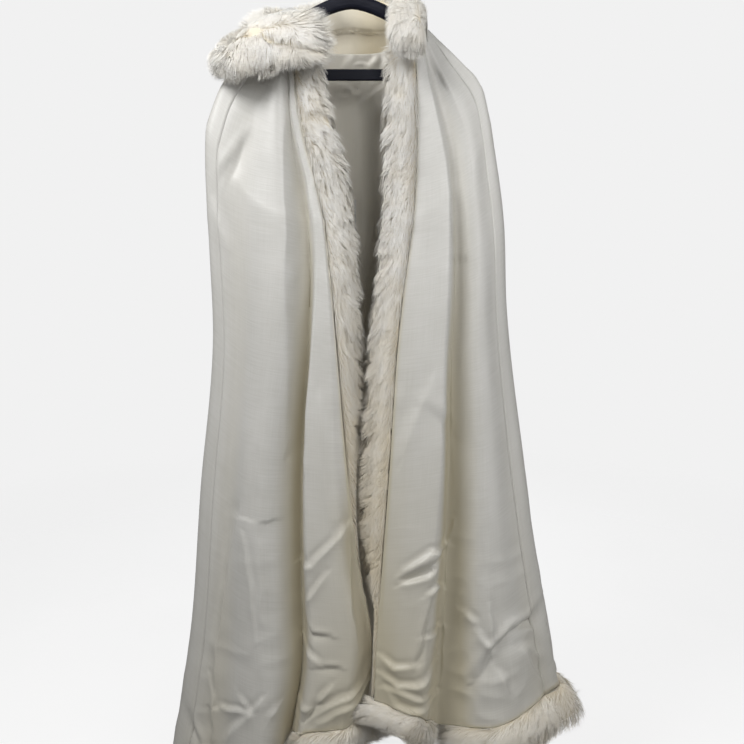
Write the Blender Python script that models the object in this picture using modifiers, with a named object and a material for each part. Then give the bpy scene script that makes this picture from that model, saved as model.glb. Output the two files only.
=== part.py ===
"""A long hooded bridal cape in ivory satin, edged with fur, hanging on a clothes hanger.

The part's frame is +Z up with the front facing -Y. Its origin is the inside top of the hanger's hook.
"""

import math

import bmesh
import bpy
from mathutils import Vector

COLLECTION = "bridal_cape"

# Wall, skin and seam sizes, in metres
WALL = 0.0015
SKIN = 0.0010
GAP = 0.0003
SEAM_DRAW = 0.75 * GAP

# Hanger sizes
ARM_TOP_CENTRE = -0.080
ARM_FALL = 1.588
ARM_FALL_POWER = 1.6
ARM_HALF_SPAN = 0.214
ARM_HEIGHT_CENTRE = 0.025
ARM_HEIGHT_TIP = 0.020
ARM_THICKNESS = 0.014
ARM_STATIONS = 28
ARM_SIDES = 16
BAR_Z = -0.2155
BAR_HEIGHT = 0.019
BAR_THICKNESS = 0.009
BAR_HALF_LENGTH = 0.191
BAR_ROUNDING = 0.002
HOOK_WIRE = 0.0042
HOOK_RADIUS = 0.020
HOOK_BEND = 0.002
HOOK_BEND_Z = -0.045
HOOK_BEND_DROP = 0.010

# The satin's outer face lies this far over the top of the arms: its wall, the lining and the room between
ARM_CLEARANCE = 0.0013
RIDE = WALL + GAP + SKIN + ARM_CLEARANCE

# Rows of the cloth between the neckline (0) and the hem (1); CHEST ends the part that the arms carry
CHEST = 0.20
ROWS = (0, 0.02, 0.04, 0.08, 0.12, 0.14, 0.16, 0.20, 0.27, 0.35, 0.44, 0.53, 0.62, 0.71, 0.79, 0.87, 0.94, 1)
YOKE_POWER = 4
BOXY = 0.72
EDGE_COLUMNS = 3
BACK_COLUMNS = 2

# Fur sizes
BAND_SIDES = 12
BAND_ROUND = 2.4
HOOD_FUR_ROUND = 2.2
BAND_FOLD_ROOM = 0.0035
BAND_FROM = {"left": 0.018, "right": 0.018}
BAND_TO = 0.98
HEM_FUR_THICKNESS = 0.026
HOOD_FUR_THICKNESS = 0.028
HOOD_STRIPS = 3
HOOD_STEPS = 9
HOOD_LINED_FROM = 4
HOOD_LINED_TO = 11


def table(columns, *rows):
    """Rows of numbers as a list of dicts, under the names of their columns."""
    names = columns.split()
    return [dict(zip(names, row)) for row in rows]


def arm_top(x):
    """The height of the hanger's arms, along which the shoulders of the cloth lie."""
    return ARM_TOP_CENTRE - ARM_FALL * abs(x) ** ARM_FALL_POWER


# Each row is a level of the cape. The outline and the front edges are X; depths are from the middle.
LEVELS = table(
    "at    left    right  front  back   side_z  front_z back_z edge_left edge_right",
    (0.00, -0.112, 0.112, 0.050, 0.052, arm_top(0.112), -0.200, -0.168, -0.098, 0.104),
    (0.04, -0.140, 0.140, 0.046, 0.060, arm_top(0.140), -0.262, -0.220, -0.100, 0.114),
    (0.08, -0.175, 0.175, 0.044, 0.064, arm_top(0.175), -0.318, -0.272, -0.088, 0.116),
    (0.12, -0.208, 0.208, 0.046, 0.068, arm_top(0.208), -0.370, -0.325, -0.075, 0.116),
    (0.14, -0.223, 0.222, 0.048, 0.070, arm_top(0.222), -0.395, -0.355, -0.068, 0.115),
    (0.16, -0.239, 0.236, 0.050, 0.073, -0.248, -0.420, -0.385, -0.062, 0.114),
    (0.20, -0.262, 0.251, 0.060, 0.082, -0.310, -0.470, -0.450, -0.050, 0.110),
    (0.32, -0.262, 0.275, 0.080, 0.098, -0.310, -0.470, -0.450, -0.036, 0.093),
    (0.44, -0.262, 0.286, 0.098, 0.114, -0.310, -0.470, -0.450, -0.024, 0.080),
    (0.60, -0.291, 0.315, 0.122, 0.134, -0.310, -0.470, -0.450, -0.009, 0.069),
    (0.76, -0.316, 0.349, 0.145, 0.155, -0.310, -0.470, -0.450, 0.012, 0.056),
    (0.88, -0.348, 0.380, 0.163, 0.176, -0.310, -0.470, -0.450, 0.036, 0.046),
    (1.00, -0.383, 0.410, 0.182, 0.200, -0.310, -0.470, -0.450, 0.028, 0.040),
)

# Each row is a crest or a dip that runs down the cloth. Its way round is -2 at the left front edge, -1 at the
# left side, 0 at the middle of the back, 1 at the right side and 2 at the right front edge, and out is how far
# it stands out from the plain section: at the chest, at the waist and at the hem.
LEFT_FOLDS = table(
    "neck   chest   waist   hem     out_chest out_waist out_hem hem_z",
    (-2.00, -2.000, -2.000, -2.000, -0.003, -0.006, -0.040, -1.367),
    (-1.94, -1.984, -1.955, -1.925, 0.001, 0.004, 0.012, -1.372),
    (-1.86, -1.962, -1.850, -1.820, 0.000, 0.006, 0.010, -1.384),
    (-1.77, -1.905, -1.800, -1.752, -0.026, -0.044, -0.050, -1.430),
    (-1.60, -1.760, -1.600, -1.655, 0.006, 0.010, 0.012, -1.500),
    (-1.42, -1.470, -1.400, -1.430, -0.008, -0.010, -0.016, -1.550),
    (-1.29, -1.290, -1.290, -1.290, -0.003, -0.003, -0.006, -1.570),
    (-1.12, -1.120, -1.120, -1.150, 0.002, 0.003, 0.004, -1.585),
)
RIGHT_FOLDS = table(
    "neck  chest  waist  hem    out_chest out_waist out_hem hem_z",
    (1.10, 1.100, 1.100, 1.120, 0.002, 0.003, 0.004, -1.373),
    (1.29, 1.290, 1.290, 1.290, -0.003, -0.004, -0.008, -1.370),
    (1.47, 1.490, 1.500, 1.590, 0.002, 0.007, 0.010, -1.390),
    (1.62, 1.630, 1.660, 1.780, -0.016, -0.040, -0.044, -1.410),
    (1.76, 1.740, 1.765, 1.870, 0.003, 0.007, 0.009, -1.348),
    (2.00, 2.000, 2.000, 2.000, -0.003, -0.006, -0.008, -1.328),
)
WAIST = 0.52
LEFT_SEAM = 6
RIGHT_SEAM_FROM_END = 5

# The folds of the back follow a rule: dips and crests by turns, uneven in a short cycle
BACK_FOLDS = 8
BACK_REACH = 1.0
BACK_OUT = (0.003, 0.010, 0.015)
BACK_UNEVEN = (1.0, 0.65, 1.2, 0.8, 0.95)
BACK_HEM = table(
    "way   hem_z",
    (-1.00, -1.592),
    (-0.50, -1.612),
    (0.00, -1.618),
    (0.40, -1.575),
    (1.00, -1.378),
)

# The fur bands of the front edges: how wide, how thick, and how far each is folded in, in degrees
BANDS = table(
    "at    width_left width_right thick fold_left fold_right",
    (0.018, 0.054, 0.058, 0.012, 0, 5),
    (0.04, 0.056, 0.058, 0.016, 0, 5),
    (0.07, 0.060, 0.058, 0.026, 0, 5),
    (0.15, 0.062, 0.060, 0.026, 5, 10),
    (0.30, 0.056, 0.054, 0.025, 25, 25),
    (0.45, 0.054, 0.052, 0.024, 50, 35),
    (0.60, 0.052, 0.050, 0.024, 75, 42),
    (0.74, 0.050, 0.048, 0.023, 115, 55),
    (0.86, 0.050, 0.046, 0.022, 124, 104),
    (0.98, 0.050, 0.046, 0.022, 120, 112),
)

# How wide the hem's fur is round the cape, and by how many degrees it flares out from the cloth
HEM_FUR = table(
    "way   width flare",
    (-2.00, 0.070, 0),
    (-1.50, 0.066, 0),
    (-1.00, 0.066, 6),
    (0.00, 0.068, 6),
    (0.70, 0.068, 14),
    (1.00, 0.070, 26),
    (1.30, 0.068, 18),
    (1.60, 0.060, 4),
    (1.85, 0.044, 0),
    (2.00, 0.044, 0),
)

# The hood lies back. Each row is a strip of it, from the neckline at a bearing (0 is the middle of the back),
# through the bottom of its pouch, whose walls lie apart by the spread, to the seam of its fur; the brim is the
# fur's free edge.
HOOD = table(
    "bearing pouch_x pouch_y pouch_z spread seam_x seam_y seam_z brim_x brim_y brim_z",
    (-97, -0.096, -0.030, -0.116, 0.000, -0.077, -0.050, -0.133, -0.036, -0.078, -0.220),
    (-88, -0.110, -0.022, -0.112, 0.000, -0.104, -0.047, -0.127, -0.090, -0.076, -0.218),
    (-76, -0.132, 0.002, -0.122, 0.000, -0.140, -0.040, -0.131, -0.140, -0.067, -0.229),
    (-64, -0.156, 0.014, -0.140, 0.000, -0.180, -0.031, -0.147, -0.203, -0.064, -0.237),
    (-52, -0.164, 0.044, -0.162, 0.002, -0.200, 0.008, -0.160, -0.246, -0.014, -0.212),
    (-44, -0.186, 0.072, -0.240, 0.014, -0.216, 0.044, -0.172, -0.248, 0.022, -0.164),
    (-34, -0.188, 0.100, -0.335, 0.028, -0.206, 0.074, -0.182, -0.216, 0.056, -0.130),
    (-15, -0.135, 0.122, -0.375, 0.028, -0.152, 0.082, -0.148, -0.157, 0.068, -0.086),
    (0, -0.075, 0.126, -0.385, 0.030, -0.090, 0.086, -0.146, -0.093, 0.072, -0.084),
    (18, -0.012, 0.124, -0.365, 0.030, -0.020, 0.088, -0.120, -0.020, 0.076, -0.060),
    (48, 0.062, 0.112, -0.290, 0.020, 0.058, 0.080, -0.124, 0.060, 0.066, -0.064),
    (78, 0.118, 0.060, -0.172, 0.006, 0.114, 0.038, -0.116, 0.090, 0.028, -0.066),
    (90, 0.124, 0.010, -0.120, 0.000, 0.124, 0.004, -0.108, 0.076, -0.006, -0.078),
    (94, 0.126, -0.012, -0.124, 0.000, 0.127, -0.030, -0.126, 0.070, -0.038, -0.104),
    (97, 0.126, -0.028, -0.140, 0.000, 0.127, -0.058, -0.174, 0.064, -0.068, -0.168),
)

COLOURS = {
    "satin": ((0.72, 0.71, 0.68), 0.32),
    "lining": ((0.56, 0.52, 0.44), 0.42),
    "fur": ((0.86, 0.84, 0.78), 0.9),
    "plastic": ((0.02, 0.022, 0.035), 0.35),
    "steel": ((0.6, 0.6, 0.6), 0.3),
}


def between(rows, column, at, key="at"):
    """The column's value at a place between rows, on a smooth curve through them."""
    keys = [row[key] for row in rows]
    last = len(rows) - 2
    k = min(max(sum(1 for value in keys if value <= at) - 1, 0), last)
    t = min(max((at - keys[k]) / (keys[k + 1] - keys[k]), 0), 1)
    span = keys[k + 1] - keys[k]

    def slope(i):
        low, high = max(i - 1, 0), min(i + 1, len(rows) - 1)
        return (rows[high][column] - rows[low][column]) / (keys[high] - keys[low])

    a, b = rows[k][column], rows[k + 1][column]
    bend_a, bend_b = slope(k) * span, slope(k + 1) * span
    return (
        a * (1 + 2 * t) * (1 - t) ** 2
        + bend_a * t * (1 - t) ** 2
        + b * t * t * (3 - 2 * t)
        - bend_b * t * t * (1 - t)
    )


def mix(a, b, t):
    return a + (b - a) * t


def back_folds():
    """The crests and dips of the back, from the left side to the right side."""
    rows = []
    steps = 2 * BACK_FOLDS
    for k in range(steps + 1):
        way = BACK_REACH * (2 * k / steps - 1)
        sign = -1 if k % 2 == 0 else 1
        uneven = BACK_UNEVEN[k % len(BACK_UNEVEN)]
        row = dict(neck=way, chest=way, waist=way, hem=way, hem_z=between(BACK_HEM, "hem_z", way, "way"))
        for place, out in zip(("out_chest", "out_waist", "out_hem"), BACK_OUT):
            row[place] = sign * out * uneven
        rows.append(row)
    return rows


FOLDS = LEFT_FOLDS + back_folds() + RIGHT_FOLDS
LEFT_SEAM_AT = LEFT_SEAM
RIGHT_SEAM_AT = len(FOLDS) - RIGHT_SEAM_FROM_END
LAST_FOLD = len(FOLDS) - 1


def down(at, *values):
    """A fold's value on a smooth curve through those at its neck, chest, waist and hem."""
    return between(table("at value", *zip((0, CHEST, WAIST, 1), values)), "value", at)


def fold_at(place, at):
    """The way round, the stand-out and the hem height at a place between two folds."""
    k = min(int(place), LAST_FOLD - 1)
    t = place - k
    soft = (1 - math.cos(math.pi * t)) / 2
    pair = FOLDS[k], FOLDS[k + 1]
    ways = [down(at, row["neck"], row["chest"], row["waist"], row["hem"]) for row in pair]
    outs = [down(at, 0, row["out_chest"], row["out_waist"], row["out_hem"]) for row in pair]
    return mix(*ways, t), mix(*outs, soft), mix(pair[0]["hem_z"], pair[1]["hem_z"], t)


def ride(x):
    """How far above the arm's top the satin lies at x, across the arm's slope."""
    slope = ARM_FALL * ARM_FALL_POWER * abs(x) ** (ARM_FALL_POWER - 1)
    return RIDE * math.hypot(1, slope)


def cape_point(place, at):
    """A point of the cape's outer face. place counts the folds from the left front edge; at is 0 to 1 down it."""
    level = {name: between(LEVELS, name, at) for name in LEVELS[0] if name != "at"}
    half = (level["right"] - level["left"]) / 2
    middle = (level["right"] + level["left"]) / 2
    way, out, hem_z = fold_at(place, at)
    side = math.copysign(1, way)
    edge_x = level["edge_right"] if side > 0 else level["edge_left"]
    edge_bearing = 180 - math.degrees(math.asin(max(-1, min(1, side * (edge_x - middle) / half))))
    if abs(way) <= 1:
        bearing = math.radians(90 * way)
    else:
        bearing = side * math.radians(mix(90, edge_bearing, abs(way) - 1))
    across, along = math.sin(bearing), math.cos(bearing)
    depth = level["back"] if along > 0 else level["front"]
    point = Vector((middle + half * across, math.copysign(abs(along) ** BOXY, along) * depth, 0))
    normal = Vector((across / half, along / depth, 0)).normalized()
    point += normal * out
    held = abs(across) ** YOKE_POWER
    middle_z = level["back_z"] if along > 0 else level["front_z"]
    point.z = mix(middle_z, level["side_z"], held)
    if at < CHEST:
        point.z += ride(half) * held
    else:
        point.z = mix(point.z, hem_z, (at - CHEST) / (1 - CHEST))
    return point


def column_point(place, at):
    """A point of the cape, where a side seam lies in the middle of a flat facet."""
    if place not in (LEFT_SEAM_AT, RIGHT_SEAM_AT):
        return cape_point(place, at)
    seam = int(place)
    before = places_between(seam - 1, seam)[-2]
    after = places_between(seam, seam + 1)[1]
    return (cape_point(before, at) + cape_point(after, at)) / 2


def new_material(name):
    colour, roughness = COLOURS[name]
    material = bpy.data.materials.new(name)
    material.use_nodes = True
    shader = material.node_tree.nodes["Principled BSDF"]
    shader.inputs["Base Color"].default_value = (*colour, 1)
    shader.inputs["Roughness"].default_value = roughness
    shader.inputs["Metallic"].default_value = 1.0 if name == "steel" else 0.0
    return material


def add_object(name, data, material, collection):
    item = bpy.data.objects.new(name, data)
    data.materials.append(material)
    collection.objects.link(item)
    return item


def grid(columns, rows, place_point):
    """A grid primitive whose points are moved to place_point(column, row)."""
    shape = bmesh.new()
    bmesh.ops.create_grid(shape, x_segments=columns, y_segments=rows, size=0.5)
    for vertex in shape.verts:
        column = round((vertex.co.x + 0.5) * columns)
        row = round((vertex.co.y + 0.5) * rows)
        vertex.co = place_point(column, row)
    shape.normal_update()
    return shape


def as_cloth(name, shape, thickness, material, collection):
    """The open sheet as a wall that grows inward from it."""
    mesh = bpy.data.meshes.new(name)
    shape.to_mesh(mesh)
    shape.free()
    mesh.shade_smooth()
    item = add_object(name, mesh, material, collection)
    wall = item.modifiers.new("wall", "SOLIDIFY")
    wall.thickness = thickness
    wall.offset = -1
    return item


def places_between(first, last):
    """The cloth's columns from one fold to another, closer where the front folds run."""
    places = []
    for k in range(first, last):
        front = k < LEFT_SEAM_AT or k >= RIGHT_SEAM_AT
        columns = EDGE_COLUMNS if front else BACK_COLUMNS
        places += [k + step / columns for step in range(columns)]
    return places + [last]


def panel_points(first, last):
    """Points by column and row. A seam splits a flat facet, and the panel is drawn back from it."""
    points = [[column_point(place, at) for at in ROWS] for place in places_between(first, last)]
    for edge, inner in ((0, 1), (-1, -2)):
        for row in range(len(ROWS)):
            inward = (points[inner][row] - points[edge][row]).normalized()
            points[edge][row] = points[edge][row] + inward * SEAM_DRAW
    return points


def panel_sheet(points):
    columns, rows = len(points) - 1, len(points[0]) - 1
    return grid(columns, rows, lambda column, row: points[column][row])


def add_panel(name, first, last, material, collection):
    return as_cloth(name, panel_sheet(panel_points(first, last)), WALL, material, collection)


def add_back_lining(material, collection):
    """The lining of the back, made from the back's own points moved in past its wall."""
    sheet = panel_sheet(panel_points(LEFT_SEAM_AT, RIGHT_SEAM_AT))
    moves = [vertex.normal * (WALL + GAP) for vertex in sheet.verts]
    for vertex, move in zip(sheet.verts, moves):
        vertex.co -= move
    return as_cloth("lining_back", sheet, SKIN, material, collection)


def roll(name, stations, sides, material, collection, roundness=BAND_ROUND):
    """A closed roll along stations of (centre, width axis, thickness axis, half width, half thickness).

    Its section is a circle at a roundness of 2, and squarer above that.
    """
    count = len(stations) - 1

    def place_point(column, row):
        centre, wide, thick, half_width, half_thickness = stations[row]
        turn = 2 * math.pi * column / sides
        x, y = math.cos(turn), math.sin(turn)
        x = math.copysign(abs(x) ** (2 / roundness), x)
        y = math.copysign(abs(y) ** (2 / roundness), y)
        return centre + wide * x * half_width + thick * y * half_thickness

    shape = grid(sides, count, place_point)
    bmesh.ops.remove_doubles(shape, verts=shape.verts, dist=1e-6)
    bmesh.ops.holes_fill(shape, edges=[edge for edge in shape.edges if edge.is_boundary], sides=0)
    bmesh.ops.recalc_face_normals(shape, faces=shape.faces)
    mesh = bpy.data.meshes.new(name)
    shape.to_mesh(mesh)
    shape.free()
    mesh.shade_smooth()
    return add_object(name, mesh, material, collection)


def band_station(place, at, inner_place, width, thickness, fold):
    """One section of a front band: it leaves the cloth's edge, turned inward by its fold."""
    edge = cape_point(place, at)
    outward = (edge - cape_point(inner_place, at)).normalized()
    along = (cape_point(place, min(at + 0.01, 1)) - cape_point(place, max(at - 0.01, 0))).normalized()
    outward = (outward - along * outward.dot(along)).normalized()
    face = along.cross(outward).normalized()
    if face.y > 0:
        face = -face
    turn = math.radians(fold)
    wide = outward * math.cos(turn) - face * math.sin(turn)
    thick = face * math.cos(turn) + outward * math.sin(turn)
    clear = GAP + BAND_FOLD_ROOM * math.sin(turn) ** 2
    centre = edge - face * WALL / 2 + wide * (clear + width / 2)
    return centre, wide, thick, width / 2, thickness / 2


def add_front_band(name, side, material, collection):
    place = 0 if side == "left" else LAST_FOLD
    inner = place + (0.1 if side == "left" else -0.1)
    stations = []
    first = BAND_FROM[side]
    for at in (first, *(row for row in ROWS if first < row < BAND_TO), BAND_TO):
        width = between(BANDS, "width_" + side, at)
        thickness = between(BANDS, "thick", at)
        stations.append(band_station(place, at, inner, width, thickness, between(BANDS, "fold_" + side, at)))
    return roll(name, stations, BAND_SIDES, material, collection)


def hem_station(place, step=0.05):
    """One section of the hem's fur, straight below the cloth; step is how far either side its run is taken from."""
    hem = column_point(place, 1)
    fall = (hem - column_point(place, 1 - step / 2)).normalized()
    ahead = cape_point(min(place + step, LAST_FOLD), 1) - cape_point(max(place - step, 0), 1)
    face = ahead.normalized().cross(fall).normalized()
    fall = face.cross(ahead.normalized()).normalized()
    way = fold_at(place, 1)[0]
    width = between(HEM_FUR, "width", way, "way")
    flare = math.radians(between(HEM_FUR, "flare", way, "way"))
    hem -= face * WALL / 2
    fall, face = fall * math.cos(flare) + face * math.sin(flare), face * math.cos(flare) - fall * math.sin(flare)
    centre = hem + fall * (2 * GAP + width / 2)
    return centre, fall, face, width / 2, HEM_FUR_THICKNESS / 2


def add_hem_fur(name, first, last, material, collection):
    places = [first] + [place for place in places_between(int(first), math.ceil(last)) if first < place < last]
    stations = [hem_station(place) for place in places + [last]]
    for end, inner in ((0, 1), (-1, -2)):
        centre, *section = stations[end]
        stations[end] = (centre + (stations[inner][0] - centre).normalized() * 2 * GAP, *section)
    return roll(name, stations, BAND_SIDES - 2, material, collection)


def neck_point(bearing):
    """A point of the hood's own neck seam, just above the cape's neckline."""
    level = LEVELS[0]
    turn = math.radians(bearing)
    across, along = math.sin(turn), math.cos(turn)
    depth = level["back"] if along > 0 else level["front"]
    middle_z = level["back_z"] if along > 0 else level["front_z"]
    held = abs(across) ** YOKE_POWER
    return Vector(
        (
            (level["right"] + 2 * GAP) * across,
            math.copysign(abs(along) ** BOXY, along) * (depth + 2 * GAP),
            mix(middle_z, level["side_z"], held) + (ride(level["right"]) + 2 * WALL) * held + 2 * GAP,
        )
    )


def hood_value(name, place):
    rows = [dict(row, at=number) for number, row in enumerate(HOOD)]
    return between(rows, name, place)


def hood_vector(name, place):
    return Vector([hood_value(name + axis, place) for axis in ("_x", "_y", "_z")])


def hood_strip(place, steps):
    """Points from the neckline, through the pouch, to the seam of the fur."""
    neck = neck_point(hood_value("bearing", place))
    pouch = hood_vector("pouch", place)
    seam = hood_vector("seam", place)
    wide = (seam - hood_vector("brim", place)).normalized()
    spread = Vector((0, hood_value("spread", place), 0))
    control = (pouch * 8 - neck - seam) / 6
    early, late = control - spread, control + spread
    skew = (seam - late).normalized().cross(wide).length
    seam = seam + wide * (2 * GAP + 3 * WALL * skew)
    return [
        neck * (1 - t) ** 3 + early * 3 * t * (1 - t) ** 2 + late * 3 * t * t * (1 - t) + seam * t**3
        for t in (step / steps for step in range(steps + 1))
    ]


def hood_sheet():
    columns = (len(HOOD) - 1) * HOOD_STRIPS
    strips = [hood_strip(column / HOOD_STRIPS, HOOD_STEPS) for column in range(columns + 1)]
    return grid(columns, HOOD_STEPS, lambda column, row: strips[column][HOOD_STEPS - row])


def add_hood_lining(material, collection):
    """The hood's lining, from the hood's own points moved in, where the hood is wide and below its fur."""
    sheet = hood_sheet()
    moves = [vertex.normal * (WALL + GAP) for vertex in sheet.verts]
    unlined = []
    for number, (vertex, move) in enumerate(zip(sheet.verts, moves)):
        vertex.co -= move
        row, column = divmod(number, (len(HOOD) - 1) * HOOD_STRIPS + 1)
        if row == 0 or not HOOD_LINED_FROM <= column / HOOD_STRIPS <= HOOD_LINED_TO:
            unlined.append(vertex)
    bmesh.ops.delete(sheet, geom=unlined, context="VERTS")
    return as_cloth("hood_lining", sheet, SKIN, material, collection)


def add_hood_fur(material, collection):
    columns = (len(HOOD) - 1) * HOOD_STRIPS
    stations = []
    for column in range(columns + 1):
        place = column / HOOD_STRIPS
        seam, brim = hood_vector("seam", place), hood_vector("brim", place)
        centre = (seam + brim) / 2
        before = max(place - 0.2, 0)
        after = min(place + 0.2, len(HOOD) - 1)
        ahead = sum((hood_vector(name, after) - hood_vector(name, before) for name in ("seam", "brim")), Vector())
        wide = (brim - seam).normalized()
        thick = wide.cross(ahead.normalized()).normalized()
        stations.append((centre, wide, thick, (brim - seam).length / 2, HOOD_FUR_THICKNESS / 2))
    return roll("fur_hood", stations, BAND_SIDES, material, collection, HOOD_FUR_ROUND)


def arm_stations(grow):
    """Sections of the hanger's arms from tip to tip; grow widens them for a cutter."""
    stations = []
    for k in range(ARM_STATIONS + 1):
        x = ARM_HALF_SPAN * (2 * k / ARM_STATIONS - 1)
        slope = (arm_top(x + 0.001) - arm_top(x - 0.001)) / 0.002
        along = Vector((1, 0, slope)).normalized()
        up = Vector((-along.z, 0, along.x))
        height = mix(ARM_HEIGHT_CENTRE, ARM_HEIGHT_TIP, abs(x) / ARM_HALF_SPAN)
        centre = Vector((x, 0, arm_top(x))) - up * height / 2
        stations.append((centre, up, Vector((0, 1, 0)), height / 2 + grow, ARM_THICKNESS / 2 + grow))
    return stations


def add_hanger(plastic, steel, collection, cutters):
    roll("hanger_arms", arm_stations(0), ARM_SIDES, plastic, collection)
    cutter = roll("arms_cutter", arm_stations(GAP), ARM_SIDES, plastic, cutters)
    cutter.hide_render = True
    cutter.display_type = "WIRE"
    shape = bmesh.new()
    bmesh.ops.create_cube(shape, size=1)
    for vertex in shape.verts:
        vertex.co.x *= 2 * BAR_HALF_LENGTH
        vertex.co.y *= BAR_THICKNESS
        vertex.co.z *= BAR_HEIGHT
    mesh = bpy.data.meshes.new("hanger_bar")
    shape.to_mesh(mesh)
    shape.free()
    bar = add_object("hanger_bar", mesh, plastic, collection)
    bar.location = (0, 0, BAR_Z)
    rounded = bar.modifiers.new("rounded", "BEVEL")
    rounded.width = BAR_ROUNDING
    rounded.segments = 2
    cut = bar.modifiers.new("ends", "BOOLEAN")
    cut.operation = "DIFFERENCE"
    cut.object = cutter
    add_hook(steel, collection)


def add_hook(material, collection):
    """A wire hook: three quarters of a ring over a straight shank, which stands on the arms."""
    centre_z = HOOK_WIRE / 2 - HOOK_RADIUS
    points = []
    for degrees in range(190, -61, -25):
        turn = math.radians(degrees)
        points.append((HOOK_RADIUS * math.cos(turn), centre_z + HOOK_RADIUS * math.sin(turn)))
    points += [(HOOK_BEND, HOOK_BEND_Z), (0, HOOK_BEND_Z - HOOK_BEND_DROP), (0, ARM_TOP_CENTRE + GAP)]
    curve = bpy.data.curves.new("hanger_hook", "CURVE")
    curve.dimensions = "3D"
    curve.bevel_depth = HOOK_WIRE / 2
    curve.bevel_resolution = 2
    curve.use_fill_caps = True
    spline = curve.splines.new("POLY")
    spline.points.add(len(points) - 1)
    for point, (x, z) in zip(spline.points, points):
        point.co = (x, 0, z, 1)
    return add_object("hanger_hook", curve, material, collection)


def main():
    for item in list(bpy.data.objects):
        bpy.data.objects.remove(item, do_unlink=True)
    collection = bpy.data.collections.new(COLLECTION)
    cutters = bpy.data.collections.new(COLLECTION + "_cutters")
    for group in (collection, cutters):
        bpy.context.scene.collection.children.link(group)
    satin, lining, fur, plastic, steel = (new_material(name) for name in COLOURS)

    add_panel("front_left", 0, LEFT_SEAM_AT, satin, collection)
    add_panel("back", LEFT_SEAM_AT, RIGHT_SEAM_AT, satin, collection)
    add_panel("front_right", RIGHT_SEAM_AT, LAST_FOLD, satin, collection)
    add_back_lining(lining, collection)

    as_cloth("hood", hood_sheet(), WALL, satin, collection)
    add_hood_lining(lining, collection)
    add_hood_fur(fur, collection)
    add_front_band("fur_front_left", "left", fur, collection)
    add_front_band("fur_front_right", "right", fur, collection)
    left_valley, right_valley = 3, LAST_FOLD - 2
    add_hem_fur("fur_hem_front_left", 0, left_valley - 0.35, fur, collection)
    add_hem_fur("fur_hem_left", left_valley + 0.3, LEFT_SEAM_AT, fur, collection)
    add_hem_fur("fur_hem_back", LEFT_SEAM_AT, RIGHT_SEAM_AT, fur, collection)
    add_hem_fur("fur_hem_right", RIGHT_SEAM_AT, right_valley - 0.25, fur, collection)
    add_hem_fur("fur_hem_front_right", right_valley + 0.3, LAST_FOLD, fur, collection)
    add_hanger(plastic, steel, collection, cutters)


main()
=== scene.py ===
"""The looks of a long hooded bridal cape in ivory satin, edged with fur, on a clothes hanger.

Lengths are in metres, with +Z up and the open front facing -Y. The origin is the inside top of the hanger's
hook.
"""

import functools
import itertools
import math

import bmesh
import bpy
import numpy as np
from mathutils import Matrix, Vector


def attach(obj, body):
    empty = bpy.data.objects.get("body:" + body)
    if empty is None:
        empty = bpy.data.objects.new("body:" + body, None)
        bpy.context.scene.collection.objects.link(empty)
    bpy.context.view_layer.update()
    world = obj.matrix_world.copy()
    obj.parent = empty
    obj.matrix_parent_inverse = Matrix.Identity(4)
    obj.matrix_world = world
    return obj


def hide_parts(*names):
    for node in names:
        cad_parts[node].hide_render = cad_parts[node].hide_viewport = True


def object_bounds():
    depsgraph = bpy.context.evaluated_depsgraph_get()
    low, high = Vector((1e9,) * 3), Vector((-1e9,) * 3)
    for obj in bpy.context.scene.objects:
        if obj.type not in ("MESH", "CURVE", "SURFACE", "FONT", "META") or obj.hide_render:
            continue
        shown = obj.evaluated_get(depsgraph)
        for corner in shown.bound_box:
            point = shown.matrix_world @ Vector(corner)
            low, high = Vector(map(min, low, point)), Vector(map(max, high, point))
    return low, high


bl_info = {
    "name": "Bridal Cape",
    "version": (1, 0, 0),
    "blender": (4, 5, 0),
    "location": "View3D > Sidebar > Bridal Cape",
    "description": "Builds a hooded satin cape with fur edges, hanging on a clothes hanger",
    "category": "Add Mesh",
}

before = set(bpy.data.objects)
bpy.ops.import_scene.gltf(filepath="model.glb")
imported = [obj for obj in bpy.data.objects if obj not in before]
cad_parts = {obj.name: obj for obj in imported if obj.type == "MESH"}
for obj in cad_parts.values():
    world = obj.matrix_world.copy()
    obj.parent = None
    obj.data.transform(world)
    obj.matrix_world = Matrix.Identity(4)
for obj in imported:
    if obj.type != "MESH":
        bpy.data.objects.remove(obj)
CAD_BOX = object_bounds()

# Wall, skin and seam sizes
WALL = 0.0015
SKIN = 0.0010
GAP = 0.0003
SEAM_DRAW = 0.2 * GAP

# The hanger's arms, which carry the shoulders
ARM_TOP_CENTRE = -0.080
ARM_FALL = 1.588
ARM_FALL_POWER = 1.6
ARM_CLEARANCE = 0.0013
RIDE = WALL + GAP + SKIN + ARM_CLEARANCE
HOOK_WIRE = 0.0042
HOOK_RADIUS = 0.020
HOOK_START, HOOK_END = 190, -60
HOOK_BEND_Z = -0.041
HOOK_SHANK_Z = -0.055

# The cloth runs from the neckline (0) to the hem (1); CHEST ends the part that the arms carry
CHEST = 0.20
WAIST = 0.52
YOKE_POWER = 4
BOXY = 0.72

# Fur sizes
BAND_ROUND = 2.4
HOOD_FUR_ROUND = 2.2
BAND_FOLD_ROOM = 0.0035
BAND_FROM, BAND_TO = 0.018, 0.98
HEM_FUR_THICKNESS = 0.026
HOOD_FUR_THICKNESS = 0.028


def table(columns, *rows):
    """Rows of numbers as a list of dicts, under the names of their columns."""
    names = columns.split()
    return [dict(zip(names, row)) for row in rows]


def arm_top(x):
    """The height of the hanger's arms, along which the shoulders of the cloth lie."""
    return ARM_TOP_CENTRE - ARM_FALL * abs(x) ** ARM_FALL_POWER


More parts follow.
